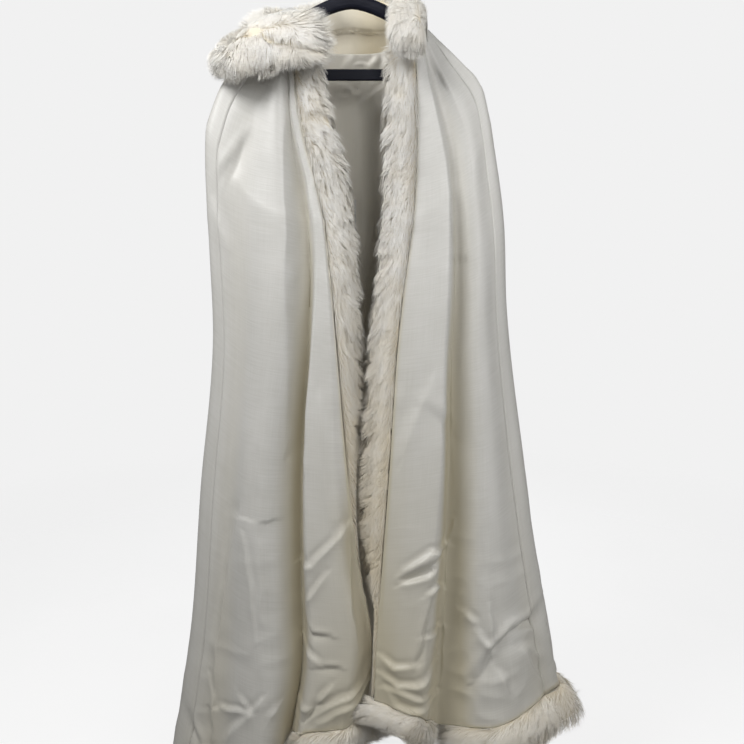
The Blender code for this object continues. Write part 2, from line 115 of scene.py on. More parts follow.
# Each row is a level of the cape. The outline and the front edges are X; depths are from the middle.
LEVELS = table(
    "at    left    right  front  back   side_z  front_z back_z edge_left edge_right",
    (0.00, -0.112, 0.112, 0.050, 0.052, arm_top(0.112), -0.200, -0.168, -0.098, 0.104),
    (0.04, -0.140, 0.140, 0.046, 0.060, arm_top(0.140), -0.262, -0.220, -0.100, 0.114),
    (0.08, -0.175, 0.175, 0.044, 0.064, arm_top(0.175), -0.318, -0.272, -0.088, 0.116),
    (0.12, -0.208, 0.208, 0.046, 0.068, arm_top(0.208), -0.370, -0.325, -0.075, 0.116),
    (0.14, -0.223, 0.222, 0.048, 0.070, arm_top(0.222), -0.395, -0.355, -0.068, 0.115),
    (0.16, -0.239, 0.236, 0.050, 0.073, -0.248, -0.420, -0.385, -0.062, 0.114),
    (0.20, -0.262, 0.251, 0.060, 0.082, -0.310, -0.470, -0.450, -0.050, 0.110),
    (0.32, -0.262, 0.275, 0.080, 0.098, -0.310, -0.470, -0.450, -0.036, 0.093),
    (0.44, -0.262, 0.286, 0.098, 0.114, -0.310, -0.470, -0.450, -0.024, 0.080),
    (0.60, -0.291, 0.315, 0.122, 0.134, -0.310, -0.470, -0.450, -0.009, 0.069),
    (0.76, -0.316, 0.349, 0.145, 0.155, -0.310, -0.470, -0.450, 0.012, 0.056),
    (0.88, -0.348, 0.380, 0.163, 0.176, -0.310, -0.470, -0.450, 0.036, 0.046),
    (1.00, -0.383, 0.410, 0.182, 0.200, -0.310, -0.470, -0.450, 0.028, 0.040),
)

# Each row is a crest or a dip that runs down the cloth. Its way round is -2 at the left front edge, -1 at the
# left side, 0 at the middle of the back, 1 at the right side and 2 at the right front edge. Out is how far it
# stands out from the plain section: at the chest, at the waist and at the hem.
LEFT_FOLDS = table(
    "neck   chest   waist   hem     out_chest out_waist out_hem hem_z",
    (-2.00, -2.000, -2.000, -2.000, -0.003, -0.006, -0.040, -1.367),
    (-1.94, -1.984, -1.955, -1.925, 0.001, 0.004, 0.012, -1.372),
    (-1.86, -1.962, -1.850, -1.820, 0.000, 0.006, 0.010, -1.384),
    (-1.77, -1.905, -1.800, -1.752, -0.026, -0.044, -0.050, -1.430),
    (-1.60, -1.760, -1.600, -1.655, 0.006, 0.010, 0.012, -1.500),
    (-1.42, -1.470, -1.400, -1.430, -0.008, -0.010, -0.016, -1.550),
    (-1.29, -1.290, -1.290, -1.290, -0.003, -0.003, -0.006, -1.570),
    (-1.12, -1.120, -1.120, -1.150, 0.002, 0.003, 0.004, -1.585),
)
RIGHT_FOLDS = table(
    "neck  chest  waist  hem    out_chest out_waist out_hem hem_z",
    (1.10, 1.100, 1.100, 1.120, 0.002, 0.003, 0.004, -1.373),
    (1.29, 1.290, 1.290, 1.290, -0.003, -0.004, -0.008, -1.370),
    (1.47, 1.490, 1.500, 1.590, 0.002, 0.007, 0.010, -1.390),
    (1.62, 1.630, 1.660, 1.780, -0.016, -0.040, -0.044, -1.410),
    (1.76, 1.740, 1.765, 1.870, 0.003, 0.007, 0.009, -1.348),
    (2.00, 2.000, 2.000, 2.000, -0.003, -0.006, -0.008, -1.328),
)
# The folds of the back follow a rule: dips and crests by turns, uneven in a short cycle
BACK_FOLDS = 8
BACK_OUT = (0.003, 0.010, 0.015)
BACK_UNEVEN = (1.0, 0.65, 1.2, 0.8, 0.95)
BACK_HEM = table(
    "way   hem_z",
    (-1.00, -1.592),
    (-0.50, -1.612),
    (0.00, -1.618),
    (0.40, -1.575),
    (1.00, -1.378),
)

# The fur bands of the front edges: how wide, how thick, and how far each is folded in, in degrees
BANDS = table(
    "at    width_left width_right thick fold_left fold_right",
    (0.018, 0.054, 0.058, 0.012, 0, 5),
    (0.04, 0.056, 0.058, 0.016, 0, 5),
    (0.07, 0.060, 0.058, 0.026, 0, 5),
    (0.15, 0.062, 0.060, 0.026, 5, 10),
    (0.30, 0.056, 0.054, 0.025, 25, 25),
    (0.45, 0.054, 0.052, 0.024, 50, 35),
    (0.60, 0.052, 0.050, 0.024, 75, 42),
    (0.74, 0.050, 0.048, 0.023, 115, 55),
    (0.86, 0.050, 0.046, 0.022, 124, 104),
    (0.98, 0.050, 0.046, 0.022, 120, 112),
)

# How wide the hem's fur is round the cape, and by how many degrees it flares out from the cloth
HEM_FUR = table(
    "way   width flare",
    (-2.00, 0.070, 0),
    (-1.50, 0.066, 0),
    (-1.00, 0.066, 6),
    (0.00, 0.068, 6),
    (0.70, 0.068, 14),
    (1.00, 0.070, 26),
    (1.30, 0.068, 18),
    (1.60, 0.060, 4),
    (1.85, 0.044, 0),
    (2.00, 0.044, 0),
)

# The hood lies back. Each row is a strip of it, from the neckline at a bearing (0 is the middle of the back),
# through the bottom of its pouch, whose walls lie apart by the spread, to the seam of its fur. The brim is
# the fur's free edge.
HOOD = table(
    "bearing pouch_x pouch_y pouch_z spread seam_x seam_y seam_z brim_x brim_y brim_z",
    (-97, -0.096, -0.030, -0.116, 0.000, -0.077, -0.050, -0.133, -0.036, -0.078, -0.220),
    (-88, -0.110, -0.022, -0.112, 0.000, -0.104, -0.047, -0.127, -0.090, -0.076, -0.218),
    (-76, -0.132, 0.002, -0.122, 0.000, -0.140, -0.040, -0.131, -0.140, -0.067, -0.229),
    (-64, -0.156, 0.014, -0.140, 0.000, -0.180, -0.031, -0.147, -0.203, -0.064, -0.237),
    (-52, -0.164, 0.044, -0.162, 0.002, -0.200, 0.008, -0.160, -0.246, -0.014, -0.212),
    (-44, -0.186, 0.072, -0.240, 0.014, -0.216, 0.044, -0.172, -0.248, 0.022, -0.164),
    (-34, -0.188, 0.100, -0.335, 0.028, -0.206, 0.074, -0.182, -0.216, 0.056, -0.130),
    (-15, -0.135, 0.122, -0.375, 0.028, -0.152, 0.082, -0.148, -0.157, 0.068, -0.086),
    (0, -0.075, 0.126, -0.385, 0.030, -0.090, 0.086, -0.146, -0.093, 0.072, -0.084),
    (18, -0.012, 0.124, -0.365, 0.030, -0.020, 0.088, -0.120, -0.020, 0.076, -0.060),
    (48, 0.062, 0.112, -0.290, 0.020, 0.058, 0.080, -0.124, 0.060, 0.066, -0.064),
    (78, 0.118, 0.060, -0.172, 0.006, 0.114, 0.038, -0.116, 0.090, 0.028, -0.066),
    (90, 0.124, 0.010, -0.120, 0.000, 0.124, 0.004, -0.108, 0.076, -0.006, -0.078),
    (94, 0.126, -0.012, -0.124, 0.000, 0.127, -0.030, -0.126, 0.070, -0.038, -0.104),
    (97, 0.126, -0.028, -0.140, 0.000, 0.127, -0.058, -0.174, 0.064, -0.068, -0.168),
)
# From which row to which the hood and its fur are lined
HOOD_LINED = (4, 11)
FUR_LINED = (7.9, 11)

# Creases of the fronts, each as its height, its width, and points in X and Z down it. One with a negative
# height goes in. The width is from the crest to where it has sunk to about a third.
CREASES = (
    # Crests beside the deep folds
    (0.0070, 0.020, (-0.121, -0.270), (-0.120, -0.500), (-0.119, -0.860)),
    (0.0050, 0.014, (-0.071, -0.300), (-0.077, -0.600), (-0.083, -0.900)),
    (0.0060, 0.018, (0.176, -0.420), (0.181, -0.700), (0.190, -1.000)),
    # The left side, over the shoulder's fold and down to the hem
    (0.0039, 0.009, (-0.251, -0.436), (-0.237, -0.482), (-0.221, -0.525)),
    (-0.0039, 0.008, (-0.190, -0.331), (-0.205, -0.366), (-0.222, -0.401)),
    (-0.0033, 0.007, (-0.190, -0.331), (-0.218, -0.370), (-0.242, -0.410)),
    (0.0033, 0.015, (-0.162, -0.827), (-0.172, -1.010), (-0.166, -1.195)),
    (0.0072, 0.013, (-0.213, -1.017), (-0.237, -1.159), (-0.260, -1.276), (-0.270, -1.443)),
    (0.0033, 0.005, (-0.198, -1.038), (-0.187, -1.128), (-0.177, -1.232)),
    (0.0039, 0.006, (-0.277, -1.328), (-0.267, -1.388), (-0.268, -1.457)),
    (0.0059, 0.006, (-0.252, -1.383), (-0.221, -1.373), (-0.191, -1.371)),
    (0.0059, 0.006, (-0.191, -1.371), (-0.175, -1.355), (-0.165, -1.342)),
    (0.0046, 0.006, (-0.210, -1.345), (-0.191, -1.369)),
    (0.0059, 0.007, (-0.193, -1.375), (-0.229, -1.423), (-0.240, -1.444)),
    (-0.0065, 0.008, (-0.326, -1.409), (-0.303, -1.466)),
    (0.0039, 0.007, (-0.153, -1.376), (-0.138, -1.355)),
    # The left front's edge panel
    (0.0033, 0.014, (-0.060, -0.788), (-0.053, -0.912), (-0.039, -1.000)),
    (0.0059, 0.007, (-0.014, -1.016), (-0.046, -1.058), (-0.070, -1.084), (-0.092, -1.092)),
    (0.0046, 0.006, (-0.045, -1.097), (-0.082, -1.151)),
    (-0.0052, 0.006, (-0.083, -1.189), (-0.070, -1.206), (-0.039, -1.210)),
    (0.0052, 0.006, (-0.092, -1.235), (-0.063, -1.257)),
    (-0.0046, 0.006, (-0.065, -1.268), (-0.023, -1.269)),
    (0.0046, 0.006, (-0.098, -1.350), (-0.065, -1.335)),
    (0.0059, 0.006, (-0.038, -1.299), (-0.059, -1.329)),
    (-0.0078, 0.008, (-0.059, -1.330), (-0.091, -1.371)),
    (0.0072, 0.008, (0.032, -1.272), (0.019, -1.304), (-0.045, -1.335), (-0.083, -1.365)),
    (0.0059, 0.007, (0.032, -1.303), (0.010, -1.324), (-0.030, -1.343), (-0.061, -1.366)),
    (0.0033, 0.005, (-0.006, -1.042), (0.000, -1.148), (0.007, -1.236)),
    # The right front's edge panel
    (-0.0030, 0.012, (0.145, -0.167), (0.174, -0.193), (0.217, -0.234)),
    (-0.0046, 0.006, (0.151, -0.220), (0.165, -0.237)),
    (-0.0039, 0.005, (0.183, -0.539), (0.206, -0.539)),
    (0.0046, 0.014, (0.140, -0.762), (0.113, -0.825), (0.092, -0.888)),
    (-0.0039, 0.012, (0.131, -0.807), (0.154, -0.821), (0.180, -0.853)),
    (0.0059, 0.007, (0.189, -1.023), (0.177, -1.070), (0.171, -1.159), (0.169, -1.277), (0.163, -1.326)),
    (0.0059, 0.007, (0.177, -1.070), (0.144, -1.063), (0.097, -1.093)),
    (-0.0059, 0.007, (0.165, -1.076), (0.124, -1.092), (0.092, -1.111)),
    (0.0059, 0.006, (0.087, -1.119), (0.133, -1.106), (0.161, -1.089)),
    (0.0059, 0.005, (0.133, -1.136), (0.149, -1.127), (0.166, -1.142)),
    (-0.0059, 0.006, (0.147, -1.145), (0.131, -1.215), (0.117, -1.255)),
    (0.0046, 0.006, (0.131, -1.213), (0.166, -1.219)),
    (0.0059, 0.007, (0.054, -1.249), (0.078, -1.269), (0.112, -1.262)),
    (0.0065, 0.007, (0.054, -1.281), (0.083, -1.302), (0.117, -1.299), (0.133, -1.291), (0.149, -1.277)),
    (0.0052, 0.006, (0.061, -1.306), (0.097, -1.313), (0.152, -1.335)),
    (0.0059, 0.007, (0.065, -1.311), (0.081, -1.335), (0.106, -1.343), (0.150, -1.345)),
    # The right side
    (-0.0111, 0.010, (0.363, -1.198), (0.343, -1.222), (0.299, -1.225), (0.263, -1.253), (0.226, -1.306)),
    (0.0059, 0.007, (0.212, -1.189), (0.231, -1.204)),
    (0.0059, 0.007, (0.236, -1.220), (0.257, -1.247)),
    (0.0046, 0.006, (0.250, -1.168), (0.261, -1.247)),
    (0.0059, 0.007, (0.314, -1.260), (0.368, -1.297)),
    (0.0059, 0.007, (0.318, -1.268), (0.367, -1.347)),
    (0.0046, 0.006, (0.307, -1.227), (0.350, -1.245)),
    (0.0059, 0.007, (0.269, -1.295), (0.294, -1.335)),
)

# Seams and folds of the back's lining behind the neck, as the fronts' creases are given
LINING_CREASES = (
    (-0.0030, 0.0050, (-0.030, -0.283), (-0.005, -0.267), (0.017, -0.252), (0.042, -0.235), (0.066, -0.218)),
    (-0.0022, 0.0024, (0.001, -0.196), (0.004, -0.186), (0.010, -0.183), (0.020, -0.183), (0.028, -0.186),
     (0.034, -0.196)),
    (-0.0045, 0.006, (0.000, -0.168), (-0.007, -0.180), (-0.016, -0.194)),
    (-0.0045, 0.006, (0.048, -0.172), (0.042, -0.180), (0.030, -0.190)),
    (-0.0030, 0.005, (-0.015, -0.222), (-0.001, -0.233), (0.013, -0.242)),
    (-0.0030, 0.005, (0.025, -0.216), (0.017, -0.229), (0.010, -0.244)),
    (-0.0025, 0.005, (-0.028, -0.244), (-0.005, -0.242), (0.010, -0.233)),
    (-0.0028, 0.005, (0.036, -0.219), (0.025, -0.236), (0.017, -0.249)),
    (-0.0035, 0.010, (0.012, -0.290), (0.018, -0.420), (0.014, -0.600)),
    (-0.0030, 0.012, (-0.022, -0.330), (-0.012, -0.480), (-0.006, -0.640)),
)


def mix(a, b, t):
    return a + (b - a) * t


def near(distance, reach):
    """1 at no distance, sinking smoothly to about a third at the reach."""
    return np.exp(-((distance / reach) ** 2))


def ramp(value, start, span):
    """0 up to the start and 1 from a span past it."""
    return np.clip((value - start) / span, 0, 1)


def between(rows, column, at, key="at"):
    """The column's value at a place between rows, on a smooth curve through them."""
    keys = [row[key] for row in rows]
    k = min(max(sum(1 for value in keys if value <= at) - 1, 0), len(rows) - 2)
    span = keys[k + 1] - keys[k]
    t = min(max((at - keys[k]) / span, 0), 1)

    def slope(i):
        low, high = max(i - 1, 0), min(i + 1, len(rows) - 1)
        return (rows[high][column] - rows[low][column]) / (keys[high] - keys[low])

    a, b = rows[k][column], rows[k + 1][column]
    bend_a, bend_b = slope(k) * span, slope(k + 1) * span
    return (
        a * (1 + 2 * t) * (1 - t) ** 2
        + bend_a * t * (1 - t) ** 2
        + b * t * t * (3 - 2 * t)
        - bend_b * t * t * (1 - t)
    )


def back_folds():
    """The crests and dips of the back, from the left side to the right side."""
    rows = []
    steps = 2 * BACK_FOLDS
    for k in range(steps + 1):
        way = 2 * k / steps - 1
        uneven = BACK_UNEVEN[k % len(BACK_UNEVEN)] * (-1 if k % 2 == 0 else 1)
        row = dict(neck=way, chest=way, waist=way, hem=way, hem_z=between(BACK_HEM, "hem_z", way, "way"))
        for place, out in zip(("out_chest", "out_waist", "out_hem"), BACK_OUT):
            row[place] = out * uneven
        rows.append(row)
    return rows


# All the folds from the left front edge, with those at the deep valleys of the fronts and at the side seams
FOLDS = LEFT_FOLDS + back_folds() + RIGHT_FOLDS
LAST_FOLD = len(FOLDS) - 1
LEFT_VALLEY, LEFT_SEAM = 3, 6
RIGHT_SEAM, RIGHT_VALLEY = LAST_FOLD - 4, LAST_FOLD - 2
VALLEY_STEEPNESS = 0.55


def down(at, *values):
    """A fold's value on a smooth curve through those at its neck, chest, waist and hem."""
    return between(table("at value", *zip((0, CHEST, WAIST, 1), values)), "value", at)


@functools.cache
def level_at(at):
    return {name: between(LEVELS, name, at) for name in LEVELS[0] if name != "at"}


@functools.cache
def folds_at(at):
    """The way round and the stand-out of every fold at one height."""
    ways = [down(at, row["neck"], row["chest"], row["waist"], row["hem"]) for row in FOLDS]
    outs = [down(at, 0, row["out_chest"], row["out_waist"], row["out_hem"]) for row in FOLDS]
    return ways, outs


def fold_at(place, at):
    """The way round, the stand-out and the hem height at a place between two folds."""
    k = min(int(place), LAST_FOLD - 1)
    t = place - k
    steep = t**VALLEY_STEEPNESS if k == LEFT_VALLEY else t
    soft = (1 - math.cos(math.pi * steep)) / 2
    ways, outs = folds_at(at)
    hem_z = mix(FOLDS[k]["hem_z"], FOLDS[k + 1]["hem_z"], t)
    return mix(ways[k], ways[k + 1], t), mix(outs[k], outs[k + 1], soft), hem_z


def ride(x):
    """How far above the arm's top the satin lies at x, across the arm's slope."""
    slope = ARM_FALL * ARM_FALL_POWER * abs(x) ** (ARM_FALL_POWER - 1)
    return RIDE * math.hypot(1, slope)


def boxy(along):
    """How far front or back a section lies, from -1 to 1; it is squarer than an ellipse."""
    return math.copysign(abs(along) ** BOXY, along)


def section_at(level, turn):
    """The section at a turn from the middle of the back: its part across and its part along, how deep it
    is, how high it lies, and how far the shoulder holds it.
    """
    across, along = math.sin(turn), math.cos(turn)
    face = "back" if along > 0 else "front"
    held = abs(across) ** YOKE_POWER
    return across, along, level[face], mix(level[face + "_z"], level["side_z"], held), held


def cape_point(place, at):
    """A point of the outer face; place counts folds from the left front edge, and at is 0 to 1 down them."""
    level = level_at(at)
    half = (level["right"] - level["left"]) / 2
    middle = (level["right"] + level["left"]) / 2
    way, out, hem_z = fold_at(place, at)
    side = math.copysign(1, way)
    edge_x = level["edge_right"] if side > 0 else level["edge_left"]
    edge_bearing = 180 - math.degrees(math.asin(max(-1, min(1, side * (edge_x - middle) / half))))
    if abs(way) <= 1:
        bearing = math.radians(90 * way)
    else:
        bearing = side * math.radians(mix(90, edge_bearing, abs(way) - 1))
    across, along, depth, height, held = section_at(level, bearing)
    point = Vector((middle + half * across, boxy(along) * depth, 0))
    point += Vector((across / half, along / depth, 0)).normalized() * out
    point.z = height
    if at < CHEST:
        point.z += ride(half) * held
    else:
        point.z = mix(point.z, hem_z, (at - CHEST) / (1 - CHEST))
    return point


class Value:
    """A number, colour or vector of a material. Sums on it add Math nodes."""

    def __init__(self, shader, output):
        self.shader = shader
        self.output = output

    def math(self, operation, *values):
        inputs = dict(enumerate(values))
        return self.shader.node("ShaderNodeMath", {"operation": operation}, inputs)

    def __add__(self, other):
        return self.math("ADD", self, other)

    def __radd__(self, other):
        return self.math("ADD", other, self)

    def __sub__(self, other):
        return self.math("SUBTRACT", self, other)

    def __rsub__(self, other):
        return self.math("SUBTRACT", other, self)

    def __mul__(self, other):
        return self.math("MULTIPLY", self, other)

    def __rmul__(self, other):
        return self.math("MULTIPLY", other, self)

    def __pow__(self, other):
        return self.math("POWER", self, other)

    def clamped(self):
        return self.shader.node("ShaderNodeClamp", {}, {0: self})


# The colour sockets of a Mix node, whose inputs and outputs share their names with those for other kinds
MIX_COLOUR_A, MIX_COLOUR_B, MIX_COLOUR = 6, 7, 2


class Shader:
    """One material's nodes, around its Principled BSDF."""

    def __init__(self, name, **settings):
        self.material = bpy.data.materials.new(name)
        self.material.use_nodes = True
        self.tree = self.material.node_tree
        self.surface = self.tree.nodes["Principled BSDF"]
        self.feed(**settings)

    def set(self, socket, value):
        if isinstance(value, Value):
            self.tree.links.new(value.output, socket)
        else:
            socket.default_value = value

    def feed(self, **values):
        for socket, value in values.items():
            self.set(self.surface.inputs[socket.replace("_", " ")], value)

    def node(self, kind, settings, values, output=0):
        node = self.tree.nodes.new(kind)
        for name, value in settings.items():
            setattr(node, name, value)
        for socket, value in values.items():
            self.set(node.inputs[socket], value)
        return Value(self, node.outputs[output])

    def attribute(self, name):
        return self.node("ShaderNodeAttribute", {"attribute_name": name}, {}, "Fac")

    def uv(self, name):
        return self.node("ShaderNodeUVMap", {"uv_map": name}, {})

    def place(self):
        return self.node("ShaderNodeTexCoord", {}, {}, "Object")

    def stretched(self, vector, x, y, z=1):
        return self.node("ShaderNodeMapping", {}, {"Vector": vector, "Scale": (x, y, z)})

    def noise(self, vector, scale, detail=3):
        inputs = {"Vector": vector, "Scale": scale, "Detail": detail, "Roughness": 0.55}
        return self.node("ShaderNodeTexNoise", {}, inputs)

    def mixed(self, a, b, factor):
        inputs = {"Factor": factor, MIX_COLOUR_A: a, MIX_COLOUR_B: b}
        return self.node("ShaderNodeMix", {"data_type": "RGBA"}, inputs, MIX_COLOUR)

    def bump(self, height, strength, distance):
        inputs = {"Height": height, "Strength": strength, "Distance": distance}
        return self.node("ShaderNodeBump", {}, inputs)


def rgba(colour):
    return (*colour, 1)


def grid(columns, rows, place_point):
    """A grid primitive whose points are moved to place_point(column, row)."""
    shape = bmesh.new()
    bmesh.ops.create_grid(shape, x_segments=columns, y_segments=rows, size=0.5)
    for vertex in shape.verts:
        column = round((vertex.co.x + 0.5) * columns)
        row = round((vertex.co.y + 0.5) * rows)
        vertex.co = place_point(column, row)
    shape.normal_update()
    return shape


def add_object(name, data):
    item = bpy.data.objects.new(name, data)
    bpy.context.scene.collection.objects.link(item)
    return item


def place_piece(name, mesh, material, node):
    """A mesh as a piece of the cape that stands for its CAD node."""
    mesh.materials.append(material_of(material))
    piece = add_object(name, mesh)
    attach(piece, "root")
    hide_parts(node)
    return piece


def finish_piece(name, shape, material, node, thickness=0):
    """A bmesh as a piece of the cape; a sheet gets its thickness inward."""
    mesh = bpy.data.meshes.new(name)
    shape.to_mesh(mesh)
    shape.free()
    mesh.shade_smooth()
    piece = place_piece(name, mesh, material, node)
    if thickness:
        wall = piece.modifiers.new("wall", "SOLIDIFY")
        wall.thickness = thickness
        wall.offset = -1


def lay_cloth(shape, hollow, uv_of):
    """Gives a sheet's points their hollow attribute, the painted shade that their colour mixes in, and their
    cloth UVs by number.
    """
    shade_layer = shape.verts.layers.float.new("hollow")
    cloth = shape.loops.layers.uv.new("cloth")
    shape.verts.index_update()
    for vertex, value in zip(shape.verts, hollow):
        vertex[shade_layer] = value
    for face in shape.faces:
        for loop in face.loops:
            loop[cloth].uv = uv_of(loop.vert.index)


def keep_cut(name, across, fall):
    """Sums the area of a sheet's cells from tables of metres by column and row, and keeps nothing.
    """
    widths = (across[1:, 1:] - across[:-1, 1:] + across[1:, :-1] - across[:-1, :-1]) / 2
    lengths = (fall[1:, 1:] - fall[1:, :-1] + fall[:-1, 1:] - fall[:-1, :-1]) / 2
    float(np.sum(widths * lengths))


def down_steps(*runs):
    """Rows down a panel, as runs of (where the run ends, its rows)."""
    steps, start = [], 0
    for end, rows in runs:
        steps += [mix(start, end, row / rows) for row in range(rows)]
        start = end
    return steps + [start]


HASH_FACTORS, HASH_SPREAD = (12.9898, 78.233, 37.719, 4.581), 43758.5453


def hashed(*numbers):
    """An even scatter of values from 0 to 1, the same for the same numbers."""
    total = sum(number * factor for number, factor in zip(numbers, HASH_FACTORS))
    return np.mod(np.abs(np.sin(total) * HASH_SPREAD), 1)


def soft_noise(points, scale):
    """Smooth unevenness from -1 to 1 at points; scale is how many bumps there are in a metre."""
    points = points * scale
    base = np.floor(points)
    t = points - base
    t = t * t * (3 - 2 * t)
    total = np.zeros(len(points))
    for corner in itertools.product((0, 1), repeat=3):
        weight = np.prod(np.where(corner, t, 1 - t), axis=1)
        total += weight * hashed(*(base + corner).T)
    return 2 * total - 1


# The section of a crease: its steep side, its long side and the power that its crest sinks with, then the
# place, width and depth of the trough beside it, then how far into its taper it starts and the taper's power
STEEP_SIDE, LONG_SIDE, CREST_POWER = 0.55, 1.7, 1.15
TROUGH_PLACE, TROUGH_WIDTH, TROUGH_DEPTH = 1.5, 0.9, 0.4
TAPER_START, TAPER_POWER = 0.08, 0.7


def crease_relief(x, z, creases):
    """How far creases move the cloth out at points x by z: each steep on one side, long on the other."""
    relief = np.zeros(len(x))
    for height, width, *path in creases:
        nearest = np.full(len(x), 1e9)
        across, along = np.zeros(len(x)), np.zeros(len(x))
        runs = [math.dist(a, b) for a, b in zip(path, path[1:])]
        before = 0
        for (x1, z1), (x2, z2), length in zip(path, path[1:], runs):
            way_x, way_z = (x2 - x1) / length, (z2 - z1) / length
            t = np.clip((x - x1) * way_x + (z - z1) * way_z, 0, length)
            off_x, off_z = x - x1 - way_x * t, z - z1 - way_z * t
            distance = np.hypot(off_x, off_z)
            closer = distance < nearest
            side = np.sign(off_z * way_x - off_x * way_z) * (1 if way_x >= 0 else -1)
            nearest = np.where(closer, distance, nearest)
            across = np.where(closer, distance * side, across)
            along = np.where(closer, (before + t) / sum(runs), along)
            before += length
        taper = np.sin(np.pi * (TAPER_START + (1 - 2 * TAPER_START) * along)) ** TAPER_POWER
        steep = np.where(across > 0, STEEP_SIDE, LONG_SIDE) * width
        crest = np.exp(-((np.abs(across) / steep) ** CREST_POWER))
        trough = near(across - TROUGH_PLACE * width, TROUGH_WIDTH * width)
        relief += height * taper * (crest - TROUGH_DEPTH * trough)
    return relief


# How deep the deepest fold lies, and about how far the cloth falls from its chest to its hem
DEEPEST = 0.042
HEM_FALL = 1.25
# The back's creases mirror the fronts', shifted in X and Z and at a share of their height. They go in and
# stand out only so far that its lining stays under them
BACK_CREASE_SHIFT = (0.03, 0.06)
BACK_CREASE_SHARE = 0.55
BACK_CREASES = (-0.0022, 0.0040)
# Hung cloth's unevenness: how far it goes, its bumps in a metre, and their share of that number downward
UNEVEN = ((0.0034, 11, 0.22), (0.0014, 30, 0.12))
# Creases wander by this much, at so many bumps in a metre
WANDER, WANDER_BUMPS = 0.004, 30
# Rumples low down: how far they go, from where down and over what share of the height they grow
RUMPLE, RUMPLED_FROM, RUMPLED_OVER = 0.0024, 0.55, 0.3
# Puckers by the hem and by the front edges: how far they go, how far from the edge, and the bumps in a metre
HEM_PUCKER, HEM_PUCKER_REACH, HEM_PUCKER_BUMPS = 0.0022, 0.035, 62
EDGE_PUCKER, EDGE_PUCKER_REACH, EDGE_PUCKER_BUMPS = 0.0013, 0.022, 38
# Gathers of the lining at the neck: how far they go in, how far down they reach, and where their tops are cut
GATHER, GATHER_REACH, GATHER_TOP = 0.0022, 0.045, 0.2
# Painted shade on the satin: beside the fur, and low down, where the cloth by the front edges has more
SEAM_PAINTED_SHADE, SEAM_SHADE_REACH = 0.6, 0.005
LOW_PAINTED_SHADE, LOW_SHADE_POWER, LOW_EDGE_PAINTED_SHADE, LOW_EDGE_REACH = 0.35, 2.5, 0.75, 0.16
# The left front's turned edge: its painted shade, its middle and width from the edge, and from where down it
# shows
TURNED_PAINTED_SHADE, TURNED_MIDDLE, TURNED_WIDTH = 0.45, 0.018, 0.022
TURNED_FROM, TURNED_OVER = 0.62, 0.1


def relief_of(points, normals, at, from_edge):
    """How far a panel's points move out, for creases, puckers at seams and the unevenness of hung cloth."""
    warp = WANDER * np.stack([soft_noise(places, WANDER_BUMPS) for places in (points, points[:, ::-1])])
    x, z = points[:, 0] + warp[0], points[:, 2] + warp[1]
    front, back = (np.clip(way * normals[:, 1], 0, 1) for way in (-2.5, 2.5))
    behind = crease_relief(-x - BACK_CREASE_SHIFT[0], z - BACK_CREASE_SHIFT[1], CREASES)
    relief = front * crease_relief(x, z, CREASES)
    relief += back * np.clip(BACK_CREASE_SHARE * behind, *BACK_CREASES)
    for depth, bumps, drawn in UNEVEN:
        relief += depth * soft_noise(points * (1, 1, drawn), bumps)
    rumpled = np.clip(soft_noise(points, 5) + 0.2, 0, 1) * ramp(at, RUMPLED_FROM, RUMPLED_OVER)
    relief += RUMPLE * rumpled * (1 - 2 * np.abs(soft_noise(points * (1, 1, 1.4), 20)))
    hem = soft_noise(points * (1, 1, 0.12), HEM_PUCKER_BUMPS) * near((1 - at) * HEM_FALL, HEM_PUCKER_REACH)
    edge = soft_noise(points * (0.2, 0.2, 1), EDGE_PUCKER_BUMPS) * near(from_edge, EDGE_PUCKER_REACH)
    return relief + (HEM_PUCKER * hem + EDGE_PUCKER * edge)


def lining_relief(points, at):
    """What the back's lining has besides its satin's relief: a seam, folds and gathers, to its own face."""
    gathers = np.clip(soft_noise(points * (1, 1, 0.2), 75), -1, GATHER_TOP) * near(at, GATHER_REACH)
    return crease_relief(points[:, 0], points[:, 2], LINING_CREASES) + GATHER * (gathers - GATHER_TOP)


